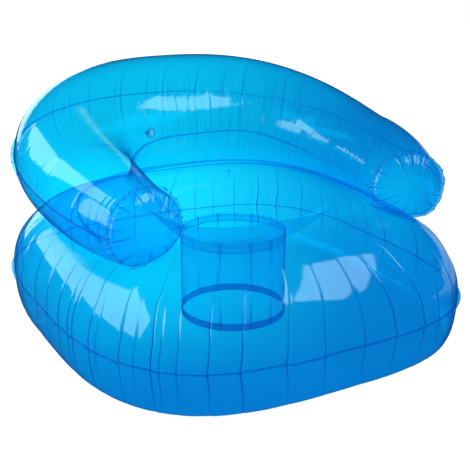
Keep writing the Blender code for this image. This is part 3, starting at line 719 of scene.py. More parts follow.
# %% Place the folds and columns
front_fold_degrees = (
    (163.0, 0.5), (176.0, 0.6), (186.0, 0.75), (194.1, 0.9), (199.5, 0.7), (202.0, 1.0), (209.0, 1.0),
    (211.5, 0.6), (218.5, 0.75), (222.1, 0.5), (225.8, 1.0), (227.6, 0.6), (231.0, 0.6), (237.0, 0.8),
    (243.5, 0.9), (253.5, 0.7), (263.1, 0.7), (274.4, 0.75), (283.6, 0.8), (292.7, 0.7), (298.4, 0.6),
    (306.6, 0.7), (315.0, 0.6),
)
beside_fold = np.array([0.0015, 0.003, 0.005, 0.0075, 0.011])
fold_offsets = np.concatenate([-beside_fold[::-1], [0.0], beside_fold])
closest_columns = 0.0006
rim_column_spacing = 0.0052
rim_fold_spacing = (0.060, 0.095)


def spaced_folds(start, end, low, high, maker):
    """Random fold places between start and end, from low to high apart, and their sizes."""
    places = [start + maker.uniform(0.3, 0.7) * low]
    while places[-1] < end - low:
        places.append(places[-1] + maker.uniform(low, high))
    places = np.array([place for place in places if place < end])
    return places, maker.uniform(0.45, 1.0, len(places))


def fold_columns(end, spacing, folds, closed):
    """Column places from 0 to end: evenly spaced, and closer round each fold."""
    base = np.linspace(0.0, end, int(round(end / spacing)) + 1)
    if closed:
        base = base[:-1]
    near = (folds[:, None] + fold_offsets[None, :]).ravel()
    near = near[(near > 0.0) & (near < end)]
    gap = np.min(np.abs(base[:, None] - folds[None, :]), axis=1)
    base = base[(gap > fold_offsets[-1] + 0.4 * spacing) | (base == 0.0) | (base == end)]
    columns = np.sort(np.concatenate([base, near]))
    return columns[np.concatenate([[True], np.diff(columns) > closest_columns])]


def nearest_fold(columns, folds, sizes):
    """Signed distance from each column to its nearest fold, and that fold's size."""
    offsets = columns[:, None] - folds[None, :]
    pick = np.argmin(np.abs(offsets), axis=1)
    return offsets[np.arange(len(columns)), pick], sizes[pick]


def panel_lean(columns, folds, slopes, swell):
    """How far the film stands out between two folds: each panel leans its own way and swells a little."""
    edges = np.concatenate([[columns[0] - 0.001], folds, [columns[-1] + 0.001]])
    panel = np.clip(np.searchsorted(edges, columns) - 1, 0, len(edges) - 2)
    middle, half = 0.5 * (edges[panel + 1] + edges[panel]), 0.5 * (edges[panel + 1] - edges[panel])
    across = columns - middle
    return slopes[panel % len(slopes)] * across + swell * (1.0 - (across / half) ** 2)


rim_start = 0.5 * math.pi
rim_angles = rim_start + np.linspace(0.0, math.tau, 7201)
rim_x, rim_y = seat_place(outline_radius(rim_angles), rim_angles)
rim_lengths = np.concatenate([[0.0], np.cumsum(np.hypot(np.diff(rim_x), np.diff(rim_y)))])
rim_end = float(rim_lengths[-1])

maker = np.random.default_rng(11)
shown = np.array(front_fold_degrees)
shown_places = np.interp(np.radians(shown[:, 0]), rim_angles, rim_lengths)
first, first_sizes = spaced_folds(0.02, shown_places[0] - 0.05, *rim_fold_spacing, maker)
last, last_sizes = spaced_folds(shown_places[-1] + 0.05, rim_end - 0.02, *rim_fold_spacing, maker)
rim_folds = np.concatenate([first, shown_places, last])
rim_fold_sizes = np.concatenate([first_sizes, shown[:, 1], last_sizes])
rim_columns = fold_columns(rim_end, rim_column_spacing, rim_folds, closed=True)
rim_fold, rim_fold_size = nearest_fold(rim_columns, rim_folds, rim_fold_sizes)
print("the rim is", round(rim_end, 3), "m round")
print("it has", len(rim_folds), "folds and", len(rim_columns), "columns")

# %% [markdown]
# ## The seat's two films
#
# The weld isn't a perfect line. At each fold it steps up or down by a millimetre or so, because the
# film is gathered into it. The same small step moves both films and the flange between them. The lower
# film turns under to a flat, on which the chair rests, and closes at the middle of the floor.

# %% Make the seat's films
weld_step_height, weld_step_jitter, weld_step_length = 0.0022, 0.0015, 0.008
seat_valve_bearing = math.radians(62.0)
seat_valve_share = 0.45
dish_quiet, dish_crease = 0.85, -0.7
tilt_middle, tilt_reach = 0.13, 0.09
calm_radius, calm_fade = 0.020, 0.020

rim_lean = panel_lean(rim_columns, rim_folds, maker.uniform(-0.022, 0.022, len(rim_folds)), 0.0005)
panel_tilts = maker.uniform(-0.055, 0.055, len(rim_folds) + 1)[np.searchsorted(rim_folds, rim_columns)]
panel_tilts = panel_tilts * smooth_step(np.abs(rim_fold) / 0.007)
weld_steps = np.cumsum(maker.uniform(-1.0, 1.0, len(rim_folds)))
weld_steps = weld_steps - np.mean(weld_steps)
weld_steps = weld_step_height * weld_steps / np.max(np.abs(weld_steps))
weld_levels = weld_steps + weld_step_jitter * maker.uniform(-1.0, 1.0, len(rim_folds))


def weld_wander(places):
    """How far the rim weld lies above its even height: level between folds, with a step at each."""
    level, before = (
        weld_levels[np.clip(np.searchsorted(rim_folds, places - back) - 1, 0, None)]
        for back in (0.0, weld_step_length)
    )
    into = np.min(np.abs(places[:, None] - rim_folds[None, :]), axis=1)
    return np.where(level == before, level, before + (level - before) * smooth_step(into / weld_step_length))


rim_wander = weld_wander(rim_columns)


def sway(columns, away):
    """How far along the rim a column leans at a distance from the weld."""
    lean = 0.10 * np.sin(columns * 5.1 + 0.7) + 0.07 * np.sin(columns * 11.3 + 2.0)
    wave = 0.0022 * np.sin(away * 41.0 + columns * 9.0)
    return lean * away + wave * np.minimum(away / 0.05, 1.0)


def seat_sheet(profile, shares):
    """Rows of points over the seat. profile gives radius and height from an angle and a share."""
    even = np.interp(rim_columns, rim_lengths, rim_angles)
    radius, height = profile(even[None, :], shares[:, None])
    rough = np.stack(np.broadcast_arrays(*seat_place(radius, even[None, :]), height), axis=-1)
    away = row_distance(rough)
    swayed = np.interp((rim_columns + sway(rim_columns[None, :], away)) % rim_end, rim_lengths, rim_angles)
    radius, height = profile(swayed, shares[:, None])
    x, y = seat_place(radius, swayed)
    height = height + rim_wander * np.exp(-away / 0.04)
    return x, y, height, away


def upper_seat(angle, share):
    """Up over the side from share 0 to the crown at 1, and down into the dish from 1 to the sleeve at 2."""
    rim = outline_radius(angle)
    crown = crown_reach_share * rim
    edge = rim_height + 0.5 * seam_thickness + clearance
    rising = 0.5 * math.pi * np.minimum(share, 1.0)
    falling = np.clip(share - 1.0, 0.0, 1.0)
    side_radius = crown + (rim - crown) * np.cos(rising)
    dish_radius = crown + (sleeve_radius - crown) * falling
    side = edge + (crown_height - edge) * np.sin(rising)
    dish = dish_height + (crown_height - dish_height) * 0.5 * (1.0 + np.cos(math.pi * falling))
    return np.where(share <= 1.0, side_radius, dish_radius), np.where(share <= 1.0, side, dish)


def lower_seat(angle, share):
    """Down and under from share 0 to the flat at 1, and in over the floor from 1 towards its middle."""
    rim = outline_radius(angle)
    flat = floor_reach_share * rim
    edge = rim_height - 0.5 * seam_thickness - clearance
    turn = 0.5 * math.pi * np.minimum(share, 1.0)
    turn_radius = flat + (rim - flat) * np.maximum(np.cos(turn), 0.0) ** floor_turn_fullness
    inner_radius = flat * np.clip(2.0 - share, 0.0, 1.0)
    height = edge * (1.0 - np.sin(turn) ** floor_turn_fullness)
    return np.where(share <= 1.0, turn_radius, inner_radius), np.where(share <= 1.0, height, 0.0)


upper_shares = np.concatenate([np.linspace(0.0, 1.0, 25) ** 1.15, np.linspace(1.0, 2.0, 16)[1:]])
x, y, height, away = seat_sheet(upper_seat, upper_shares)
pressed = press_seat(x, y, height)
points = np.stack([x, y, pressed], axis=-1)
valve_radius, valve_height = upper_seat(seat_valve_bearing, seat_valve_share)
seat_valve_place = np.array((*seat_place(valve_radius, seat_valve_bearing), valve_height))
# Round the valve, whose flange is stiff, the film lies calm.
calm = smooth_step((np.linalg.norm(points - seat_valve_place, axis=-1) - calm_radius) / calm_fade)
tilted = panel_tilts * (away - tilt_middle) * np.exp(-(((away - tilt_middle) / tilt_reach) ** 2))
in_dish = smooth_step((upper_shares[:, None] - 0.75) / 0.2)
numbers = {
    "along": rim_columns,
    "away": away,
    "fold": rim_fold,
    "fold_size": rim_fold_size * calm,
    "lean": (rim_lean + tilted) * calm,
    "quiet": np.maximum(dish_quiet * in_dish, smooth_step((height - pressed) / pressed_flat)),
    "crease": dish_crease * in_dish,
}
mesh = film_grid(points, numbers, True, hole=seat_valve_place)
runs = [gathers((0.0024, 0.0017, 0.18), (0.0006, 0.013, 0.020), pillow=0.0003, seed=3.0)]
make_piece("seat_upper_film", "seat_top_sheet", mesh, calendered_film, runs, **sheet)

lower_shares = np.concatenate([np.linspace(0.0, 1.0, 20), [1.08, 1.25, 1.5, 1.75, 1.95]])
x, y, height, away = seat_sheet(lower_seat, lower_shares)
points = np.stack([x, y, np.maximum(height, 0.0)], axis=-1)
numbers = {"along": rim_columns, "away": away, "fold": rim_fold, "fold_size": rim_fold_size, "lean": rim_lean}
floor_middle = (*seat_place(0.0, 0.0), 0.0)
mesh = film_grid(points, numbers, True, pole=floor_middle, flip=True)
runs = [gathers((0.0022, 0.0018, 0.10), (0.0006, 0.013, 0.016), pillow=0.0006, seed=3.0)]
make_piece("seat_lower_film", "seat_floor_sheet", mesh, calendered_film, runs, **sheet)

# %% [markdown]
# ## Weld flanges
#
# Outside each weld stands a flange, 8 mm of doubled film that was trimmed after pressing. Nothing
# stretches it, so its free edge ruffles. It is a narrow grid of the same columns as its films, from
# 2 mm inside the weld to the free edge, and the gathering tree ruffles it from that edge inwards.

# %% Make the rim's flange
weld_line_width = 0.0012
flange_shares = np.array([0.0, 0.12, 0.17, 0.20, 0.23, 0.28, 0.45, 0.65, 0.85, 1.0])


def weld_line(from_free_edge):
    """1 on the line where the films leave the weld, and 0 a millimetre or two beside it."""
    return np.exp(-(((from_free_edge - fin_width) / weld_line_width) ** 2))


def flange_grid(line, outward, along, fold, fold_size, round_path, line_strength=1.0):
    """A narrow grid on both sides of a weld line, from the tucked edge to the free one."""
    shares = flange_shares[:, None, None]
    points = line[None] + outward[None] * (shares * (fin_width + fin_tuck) - fin_tuck)
    away = (1.0 - shares[..., 0]) * (fin_width + fin_tuck)
    numbers = {"along": along, "away": away, "fold": fold, "fold_size": fold_size}
    numbers["crease"] = line_strength * weld_line(away)
    return film_grid(points, numbers, round_path)


flange_ruffle = gathers((0.0016, 0.0030, 0.006), (0.0008, 0.006, 0.004), seed=5.0)
even = np.interp(rim_columns, rim_lengths, rim_angles)
x, y = seat_place(outline_radius(even), even)
line = np.stack([x, y, rim_height + rim_wander], axis=-1)
outward = unit(line * (1.0, 1.0, 0.0))
mesh = flange_grid(line, outward, rim_columns, rim_fold, rim_fold_size, True)
make_piece("rim_flange", "seat_rim_weld", mesh, pressed_weld, [flange_ruffle], **seam, centred=True)

# %% [markdown]
# ## Sleeve and dish
#
# An upright sleeve of film ties the bottom of the dish to the floor, which is what makes the dish. It
# is held tight by the air round it, so it only puckers at its two welded ends. The films there are
# doubled by a band. The small disc at the bottom of the dish lies in the sleeve's mouth.

# %% Make the sleeve, its bands and the disc
edge_crease = 0.5
sleeve_columns = np.linspace(0.0, math.tau * sleeve_radius, 421)[:-1]
sleeve_angles = sleeve_columns / sleeve_radius
sleeve_x, sleeve_y = seat_place(sleeve_radius, sleeve_angles)
sleeve_centre = np.array((*seat_place(0.0, 0.0), 0.0))
sleeve_outward = np.stack([sleeve_x, sleeve_y, np.zeros_like(sleeve_x)], axis=-1) - sleeve_centre
sleeve_folds, sleeve_fold_sizes = spaced_folds(0.0, sleeve_columns[-1], 0.045, 0.080, maker)
sleeve_fold, sleeve_fold_size = nearest_fold(sleeve_columns, sleeve_folds, sleeve_fold_sizes)


def sleeve_grid(radius, low, high, rows, crease=None):
    """An upright band round the sleeve. away is from the nearer end, crease is how dark a band looks."""
    heights = np.linspace(low, high, rows)[:, None, None]
    ring = sleeve_centre + sleeve_outward * (radius / sleeve_radius)
    points = ring[None] + heights * np.array((0.0, 0.0, 1.0))
    away = np.minimum(heights - low, high - heights)[..., 0]
    numbers = {"along": sleeve_columns, "away": away, "fold": sleeve_fold, "fold_size": sleeve_fold_size}
    if crease is not None:
        numbers["crease"] = crease + edge_crease * (away < 0.0001)
    return film_grid(points, numbers, True)


sleeve_low = film_thickness + clearance
sleeve_high = dish_height - film_thickness - clearance
mesh = sleeve_grid(sleeve_radius, sleeve_low, sleeve_high, 40)
runs = [gathers((0.0015, 0.004, 0.06), (0.0007, 0.009, 0.03), seed=8.0)]
make_piece("sleeve_film", "tension_sleeve", mesh, thin_film, runs, **sheet)
band_radius = sleeve_radius + clearance + seam_thickness
top_band_low = dish_height - film_thickness - sleeve_weld_drop - sleeve_weld_height
runs = [gathers(pucker=(0.0002, 0.009, 0.03), seed=8.0)]
for name, node, low, crease in (
    ("sleeve_top_band", "sleeve_top_weld_ring", top_band_low, 0.0),
    ("sleeve_floor_band", "sleeve_floor_weld_ring", sleeve_low, 0.5),
):
    mesh = sleeve_grid(band_radius, low, low + sleeve_weld_height, 7, crease)
    make_piece(name, node, mesh, pressed_weld, runs, **seam)

disc_edge = sleeve_radius - clearance - film_thickness
disc_shares = np.linspace(1.0, 0.05, 22)[:, None, None]
points = sleeve_centre + sleeve_outward[None] * (disc_edge / sleeve_radius * disc_shares)
points[..., 2] = dish_height - disc_sag * (1.0 - disc_shares[..., 0] ** 2)
away = disc_edge * (1.0 - disc_shares[..., 0])
numbers = {"along": sleeve_columns, "away": away, "fold": sleeve_fold, "fold_size": sleeve_fold_size}
pole = sleeve_centre + (0.0, 0.0, dish_height - disc_sag)
mesh = film_grid(points, numbers, True, pole=pole)
runs = [gathers(pucker=(0.0005, 0.009, 0.03), seed=8.0)]
make_piece("dish_disc", "seat_centre_disc", mesh, disc_film, runs, **sheet)

# %% [markdown]
# ## The crescent tube
#
# Two long films make the tube, welded along its outside and its inside. Cut flat and bent round, the
# inside edge has the most to gather, so its puckers are close and deep. The last centimetres of each
# arm are gathered once more, into the round seam of its end disc, so the tree runs a second time there
# with its own pair of attributes, and for the upper film a third time along a stripe of puckers.

# %% Make the tube's two films
tube_rows, tube_column_spacing = 44, 0.0028
tube_maker = np.random.default_rng(29)
tube_folds, tube_fold_sizes = spaced_folds(0.02, line_end - 0.02, 0.038, 0.085, tube_maker)
tube_columns = fold_columns(line_end, tube_column_spacing, tube_folds, closed=False)
tube_fold, tube_fold_size = nearest_fold(tube_columns, tube_folds, tube_fold_sizes)
cap_margin = 0.5 * seam_thickness + clearance
tube_places = np.clip(tube_columns, cap_margin, line_end - cap_margin)
sections = tube_sections(tube_places)


def tube_sheet(start_angle):
    """Half the tube, from its outer seam over the top or from its inner seam under the bottom.

    Returns its points, how far the seat lifts each of them, and their angles.
    """
    centre, outward, upward, _, radius = sections
    edge = cap_margin / (radius[:, 0] * tube_height_share)
    shares = np.linspace(0.0, 1.0, tube_rows)[:, None]
    shares = 0.5 * (1.0 - np.cos(math.pi * shares)) * 0.35 + shares * 0.65
    angles = start_angle + edge + (math.pi - 2.0 * edge) * shares
    side = outward * np.cos(angles)[..., None] + upward * (tube_height_share * np.sin(angles))[..., None]
    unpressed = centre + side * radius
    points = lift_tube(unpressed, -np.sin(angles))
    return points, (points - unpressed)[..., 2], angles


def tube_numbers(points, lifted, outer_first):
    """The numbers for the tree: from the nearer long weld, and from the nearer arm end."""
    from_first = row_distance(points)
    from_last = from_first[-1] - from_first
    nearer_first = from_first < from_last
    inner = nearer_first != outer_first
    end = np.minimum(tube_columns, line_end - tube_columns)
    # A shift along the weld gives the inner seam, and the right end, puckers of their own.
    return {
        "along": tube_columns + np.where(inner, 7.0, 0.0),
        "away": np.minimum(from_first, from_last),
        "fold": tube_fold,
        "fold_size": tube_fold_size,
        "end_along": from_first + np.where(tube_columns < 0.5 * line_end, 3.0, 0.0),
        "end_away": end,
        "quiet": smooth_step(lifted / pressed_flat),
    }


# On top of the right arm, where the tube bends most, the film has a stripe of crossing puckers. Its
# pale strokes are partly milky bunched film and partly a painted highlight.
stripe_lengths = (0.02, 0.09, 0.165, 0.26, 0.30, 0.35, 0.39, 0.43)
stripe_degrees = (110.0, 114.0, 116.0, 114.0, 110.0, 105.0, 101.0, 96.0)
stripe_start, stripe_end, stripe_shear = 0.08, 0.43, 0.35
stripe_width, stroke_spacing, stroke_painted_highlight = 0.009, 0.0085, -0.8


def stripe_numbers(angles):
    """The numbers for the tree along the stripe. Its strokes lie across it, at a slant, painted pale as a
    highlight.
    """
    stripe_angles = np.interp(tube_columns, stripe_lengths, np.radians(stripe_degrees))
    aside = (angles - stripe_angles) * sections[-1][:, 0]
    beyond = np.maximum(tube_columns - stripe_end, 0.0) + np.maximum(stripe_start - tube_columns, 0.0)
    away = np.abs(aside) + beyond
    along = tube_columns + stripe_shear * aside
    strokes = 0.7 + 0.3 * np.sin(math.tau * along / stroke_spacing)
    strokes = strokes * np.exp(-((away / stripe_width) ** 2))
    places = {"stripe_along": along, "stripe_away": away}
    return {**places, "milky": strokes, "crease": stroke_painted_highlight * strokes}


long_gathers = gathers((0.0008, 0.0022, 0.10), (0.0011, 0.0075, 0.034), pillow=0.0005, seed=13.0)
end_gathers = gathers(pucker=(0.0016, 0.010, 0.020), seed=21.0, Along="end_along", Away="end_away")
stripe_gathers = gathers(
    pucker=(-0.0026, stroke_spacing, 0.014), seed=41.0, Along="stripe_along", Away="stripe_away"
)
calm_radius, calm_fade, calm_shift = 0.018, 0.014, 0.2
back_valve_turn = -0.261
back_valve_angle = math.pi - math.radians(9.0)
back_valve_length = float(np.interp(back_valve_turn, line_turn, line_lengths))
valve_centre, valve_outward, valve_upward, _, valve_radius = (
    values[0] for values in tube_sections(np.array([back_valve_length]))
)
valve_side = valve_outward * math.cos(back_valve_angle)
valve_side = valve_side + valve_upward * (tube_height_share * math.sin(back_valve_angle))
back_valve_place = valve_centre + valve_radius * valve_side
for name, node, start_angle, is_upper in (
    ("back_upper_film", "backrest_upper_sheet", 0.0, True),
    ("back_lower_film", "backrest_lower_sheet", math.pi, False),
):
    points, lifted, angles = tube_sheet(start_angle)
    numbers = tube_numbers(points, lifted, outer_first=is_upper)
    # Round the valve the film counts as far away from every weld, so that nothing is gathered there.
    calm = smooth_step((np.linalg.norm(points - back_valve_place, axis=-1) - calm_radius) / calm_fade)
    numbers["fold_size"] = tube_fold_size * calm
    numbers["away"] = numbers["away"] + calm_shift * (1.0 - calm)
    runs = [long_gathers, end_gathers]
    if is_upper:
        numbers.update(stripe_numbers(angles))
        runs.append(stripe_gathers)
    hole = back_valve_place if is_upper else None
    mesh = film_grid(points, numbers, False, flip=True, hole=hole)
    make_piece(name, node, mesh, calendered_film, runs, **sheet)

# %% [markdown]
# The two long flanges of the tube follow its seams in the same columns. The dark line fades towards
# the left arm on the outside, and towards both arms' ends on the inside.

# %% Make the tube's flanges
centre, outward, upward, _, radius = sections
for name, node, side in (
    ("back_outer_flange", "backrest_outer_weld", 1.0),
    ("back_inner_flange", "backrest_inner_weld", -1.0),
):
    line = centre + outward * (side * radius)
    if side > 0.0:
        strength = 1.0 - 0.75 * smooth_step((tube_columns / line_end - 0.45) / 0.2)
    else:
        strength = smooth_step((np.minimum(tube_columns, line_end - tube_columns) - 0.25) / 0.15)
    mesh = flange_grid(line, outward * side, tube_columns, tube_fold, tube_fold_size, False, strength)
    make_piece(name, node, mesh, pressed_weld, [flange_ruffle], **seam, centred=True)

# %% [markdown]
# ## Arm ends
#
# A disc of film closes each arm. It is cut flat and round, bulges with the air, and puckers all round
# its seam, where its ruffled flange stands out. The grid runs from the seam to the middle.

# %% Make the end discs and their flanges
cap_rows, cap_columns = 30, 540
trim_maker = np.random.default_rng(61)
disc_gathers = gathers((0.0016, 0.0030, 0.06), (0.0012, 0.0075, 0.016), seed=34.0)
disc_ruffle = gathers((0.0016, 0.0030, 0.006), (0.0022, 0.009, 0.006), seed=5.0)
trim_places, disc_flange_quiet = 61, 0.8


def cap_rings(section, shares, extra):
    """Rings of the bulged end: share 0 is its rim and 1 its middle, extra is added to the radius."""
    centre, outward, upward, facing, radius = (values[0] for values in section)
    angles = np.linspace(0.0, math.tau, cap_columns + 1)[None, :-1, None]
    turn = 0.5 * math.pi * shares[:, None, None]
    forward = facing * (cap_margin + cap_bulge_share * radius * np.sin(turn))
    side = outward * np.cos(angles) + upward * (tube_height_share * np.sin(angles))
    points = centre + forward + side * ((radius + extra[..., None]) * np.cos(turn))
    return lift_tube(points, (-np.sin(angles) * np.cos(turn))[..., 0])


for side_name, length, mirrored in (("right", 0.0, True), ("left", line_end, False)):
    section = tube_sections(np.array([length]))
    centre, _, _, facing, radius = (values[0] for values in section)
    points = cap_rings(section, np.linspace(0.0, 0.96, cap_rows), np.zeros((cap_rows, 1)))
    around = np.linspace(0.0, math.tau * radius[0], cap_columns + 1)[:-1]
    folds, fold_sizes = spaced_folds(0.0, around[-1], 0.030, 0.060, tube_maker)
    fold, fold_size = nearest_fold(around, folds, fold_sizes)
    numbers = {"along": around, "away": row_distance(points), "fold": fold, "fold_size": fold_size}
    pole = centre + facing * (cap_margin + cap_bulge_share * radius)
    mesh = film_grid(points, numbers, True, pole=pole, flip=mirrored)
    name, node = f"{side_name}_arm_disc", f"{side_name}_arm_end_cap"
    make_piece(name, node, mesh, calendered_film, [disc_gathers], **sheet)
    # The flange was trimmed by hand, so its width wanders.
    widths = trim_maker.uniform(0.62, 1.1, trim_places)
    trim = np.interp(around, np.linspace(0.0, around[-1], trim_places), widths)
    extra = flange_shares * (fin_width + fin_tuck) - fin_tuck
    extra = np.where(extra[:, None] > 0.0, extra[:, None] * trim, extra[:, None])
    points = cap_rings(section, np.zeros(len(extra)), extra) - facing * cap_margin
    numbers["away"] = fin_width - extra
    numbers["quiet"] = disc_flange_quiet
    mesh = film_grid(points, numbers, True, flip=mirrored)
    name, node = f"{side_name}_disc_flange", f"{side_name}_arm_cap_weld"
    make_piece(name, node, mesh, pressed_weld, [disc_ruffle], **seam, centred=True)

# %% [markdown]
# ## The strip between back and seat
#
# A narrow strip of film, welded to the tube's underside and to the seat, holds the two chambers
# together. It stands upright in the narrow gap between them, and through the tube's film it is seen as
# a soft line.

# %% Make the strip
strip_rows, strip_columns = 5, 420
strip_half = 0.5 * line_end * strip_reach_share
strip_lengths = np.linspace(0.5 * line_end - strip_half, 0.5 * line_end + strip_half, strip_columns)
strip_x, strip_y = (np.interp(strip_lengths, line_lengths, line_centres[:, i]) for i in (0, 1))
under = tube_underside(strip_x, strip_y)
top = seat_height(strip_x, strip_y)
overlap = soft_excess(top - under + contact_gap)
low = top - 0.5 * overlap + strip_clearance
high = under + 0.5 * overlap - strip_clearance
rise = np.linspace(0.0, 1.0, strip_rows)[:, None]
points = np.stack(np.broadcast_arrays(strip_x, strip_y, low * (1.0 - rise) + high * rise), axis=-1)
numbers = {"along": strip_lengths, "away": rise * (1.0 - rise) * 0.02, "fold": 1.0, "fold_size": 1.0}
mesh = film_grid(points, numbers, False)
runs = [gathers(pucker=(0.0002, 0.007, 0.03))]
make_piece("back_to_seat_strip", "seat_to_back_weld", mesh, doubled_film, runs, **seam, centred=True)

# %% [markdown]
# ## Valves
#
# Each chamber has a moulded safety valve of soft clear PVC: a flange welded to the film, a neck that is
# pushed in for use, and a plug on a strap. They are rigid enough to keep their CAD form, so the packed
# nodes stay, and only get a moulded finish: thicker and milkier than the film, with a satin surface.

# %% Make the valves' materials
pvc_ior = 1.53
cloud_brightening = 1.25


def moulded_pvc(name, base, alpha, roughness):
    """Soft moulded PVC: satin, milky, with the faint orange peel of a sandblasted mould."""
    material = bpy.data.materials.new(name)
    material.use_nodes = True
    tree = material.node_tree
    shader = tree.nodes["Principled BSDF"]
    shader.inputs["Roughness"].default_value = roughness
    shader.inputs["IOR"].default_value = pvc_ior
    shader.inputs["Alpha"].default_value = alpha
    place = add_node(tree, "ShaderNodeTexCoord").outputs["Object"]
    clouds = add_node(tree, "ShaderNodeTexNoise", {"Vector": place, "Scale": 180.0, "Detail": 3.0})
    dark = linear(base)
    pale = [cloud_brightening * part for part in dark[:3]] + [1.0]
    inputs = {"Factor": clouds.outputs["Fac"], 6: dark, 7: pale}
    shade = add_node(tree, "ShaderNodeMix", inputs, data_type="RGBA")
    tree.links.new(shade.outputs[2], shader.inputs["Base Color"])
    peel = add_node(tree, "ShaderNodeTexNoise", {"Vector": place, "Scale": 1400.0, "Detail": 1.0})
    bump = add_node(tree, "ShaderNodeBump", {"Height": peel.outputs["Fac"], "Distance": 0.00005})
    tree.links.new(bump.outputs[0], shader.inputs["Normal"])
    return material


valve_clear_pvc = moulded_pvc("moulded_valve_pvc", "2E8FD0", 0.34, 0.28)
valve_plug_pvc = moulded_pvc("moulded_plug_pvc", "6AC6EE", 0.40, 0.32)
seat_valve_pvc = moulded_pvc("moulded_seat_valve_pvc", "22B4F0", 0.10, 0.28)
for node_name, node in frame["nodes"].items():
    if node_name.startswith("seat_valve_"):
        for material_slot in node.material_slots:
            material_slot.material = seat_valve_pvc
    elif "_valve_" in node_name:
        for material_slot in node.material_slots:
            material_slot.material = valve_plug_pvc if node_name.endswith("_plug") else valve_clear_pvc
print("dressed the CAD valves")

# %% [markdown]
# ## Floor
#
# The chair stands on a white studio floor. Its colour for the camera comes mostly from Emission, so
# that it is the photograph's plain white, and partly from a grey diffuse surface that the lamps light,
# so that the chair's shadow still falls on it. The Light Path node tells what a ray has come through.
# Seen through film the floor shows the blue shade that the chair throws on the ground, and each further
# film on the way adds a little scattered light. Rays that the film mirrors find a dim floor, with a
# brighter sweep at the far right. The floor's places are measured from the view: depth along the
# camera's heading, aside across it, bearing as the camera sees it, and reach from the middle. The
# ranges in the rows come from comparing renders with the photograph.

# %% Lay the floor
floor_half, floor_drop = 9.0, 0.0005
near_glow, mirrored_glow, scattered_glow = 0.88, 0.03, 0.7
one_film_glow, counted_films, bare_films = 0.065, 12.0, 4.0
shade_tint, lit_grey = linear("508CC6"), linear("8C8C8C")

floor_sides = ((-1, -1), (1, -1), (1, 1), (-1, 1))
corners = [(x * floor_half, y * floor_half, -floor_drop) for x, y in floor_sides]
floor_mesh = bpy.data.meshes.new("studio_floor")
floor_mesh.from_pydata(corners, [], [(0, 1, 2, 3)])
floor = bpy.data.objects.new("studio_floor", floor_mesh)
scene.collection.objects.link(floor)
floor_paint = bpy.data.materials.new("white_studio_floor")
floor_paint.use_nodes = True
tree = floor_paint.node_tree
tree.nodes.clear()
terms = {socket.name: socket for socket in add_node(tree, "ShaderNodeLightPath").outputs}
place = add_node(tree, "ShaderNodeTexCoord").outputs["Object"]
for result, side in (
    ("depth", (math.sin(heading), math.cos(heading), 0.0)),
    ("aside", (math.cos(heading), -math.sin(heading), 0.0)),
):
    product = add_node(tree, "ShaderNodeVectorMath", {0: place, 1: side}, operation="DOT_PRODUCT")
    terms[result] = product.outputs["Value"]
terms["reach"] = add_node(tree, "ShaderNodeVectorMath", {0: place}, operation="LENGTH").outputs["Value"]
inputs = {0: terms["depth"], 1: camera_distance}
from_lens = add_node(tree, "ShaderNodeMath", inputs, operation="ADD").outputs[0]
inputs = {0: terms["aside"], 1: from_lens}
terms["bearing"] = add_node(tree, "ShaderNodeMath", inputs, operation="DIVIDE").outputs[0]

# Each row fades from one value to another over a range of depth, bearing, aside or reach.
for result, start, near, far, first_value, last_value, kind in (
    ("by reach", "reach", 0.9, 2.2, near_glow, 1.0, "SMOOTHSTEP"),
    ("off side", "bearing", -0.10, 0.22, 1.0, 0.0, "SMOOTHSTEP"),
    ("off front", "depth", -0.52, 0.20, 0.0, 1.0, "SMOOTHSTEP"),
    ("off left", "bearing", -0.26, -0.11, 0.62, 0.0, "LINEAR"),
    ("near part", "depth", 0.45, 1.0, 1.0, 0.0, "LINEAR"),
    ("far off", "reach", 0.85, 1.15, 0.0, 0.85, "LINEAR"),
    ("far back", "depth", 0.0, 0.4, 0.0, 1.0, "LINEAR"),
    ("far right", "aside", 0.2, 0.5, 0.0, 1.0, "LINEAR"),
    ("through", "reach", 0.8, 2.6, 1.35, 1.08, "LINEAR"),
):
    inputs = {0: terms[start], 1: near, 2: far, 3: first_value, 4: last_value}
    terms[result] = add_node(tree, "ShaderNodeMapRange", inputs, interpolation_type=kind).outputs[0]

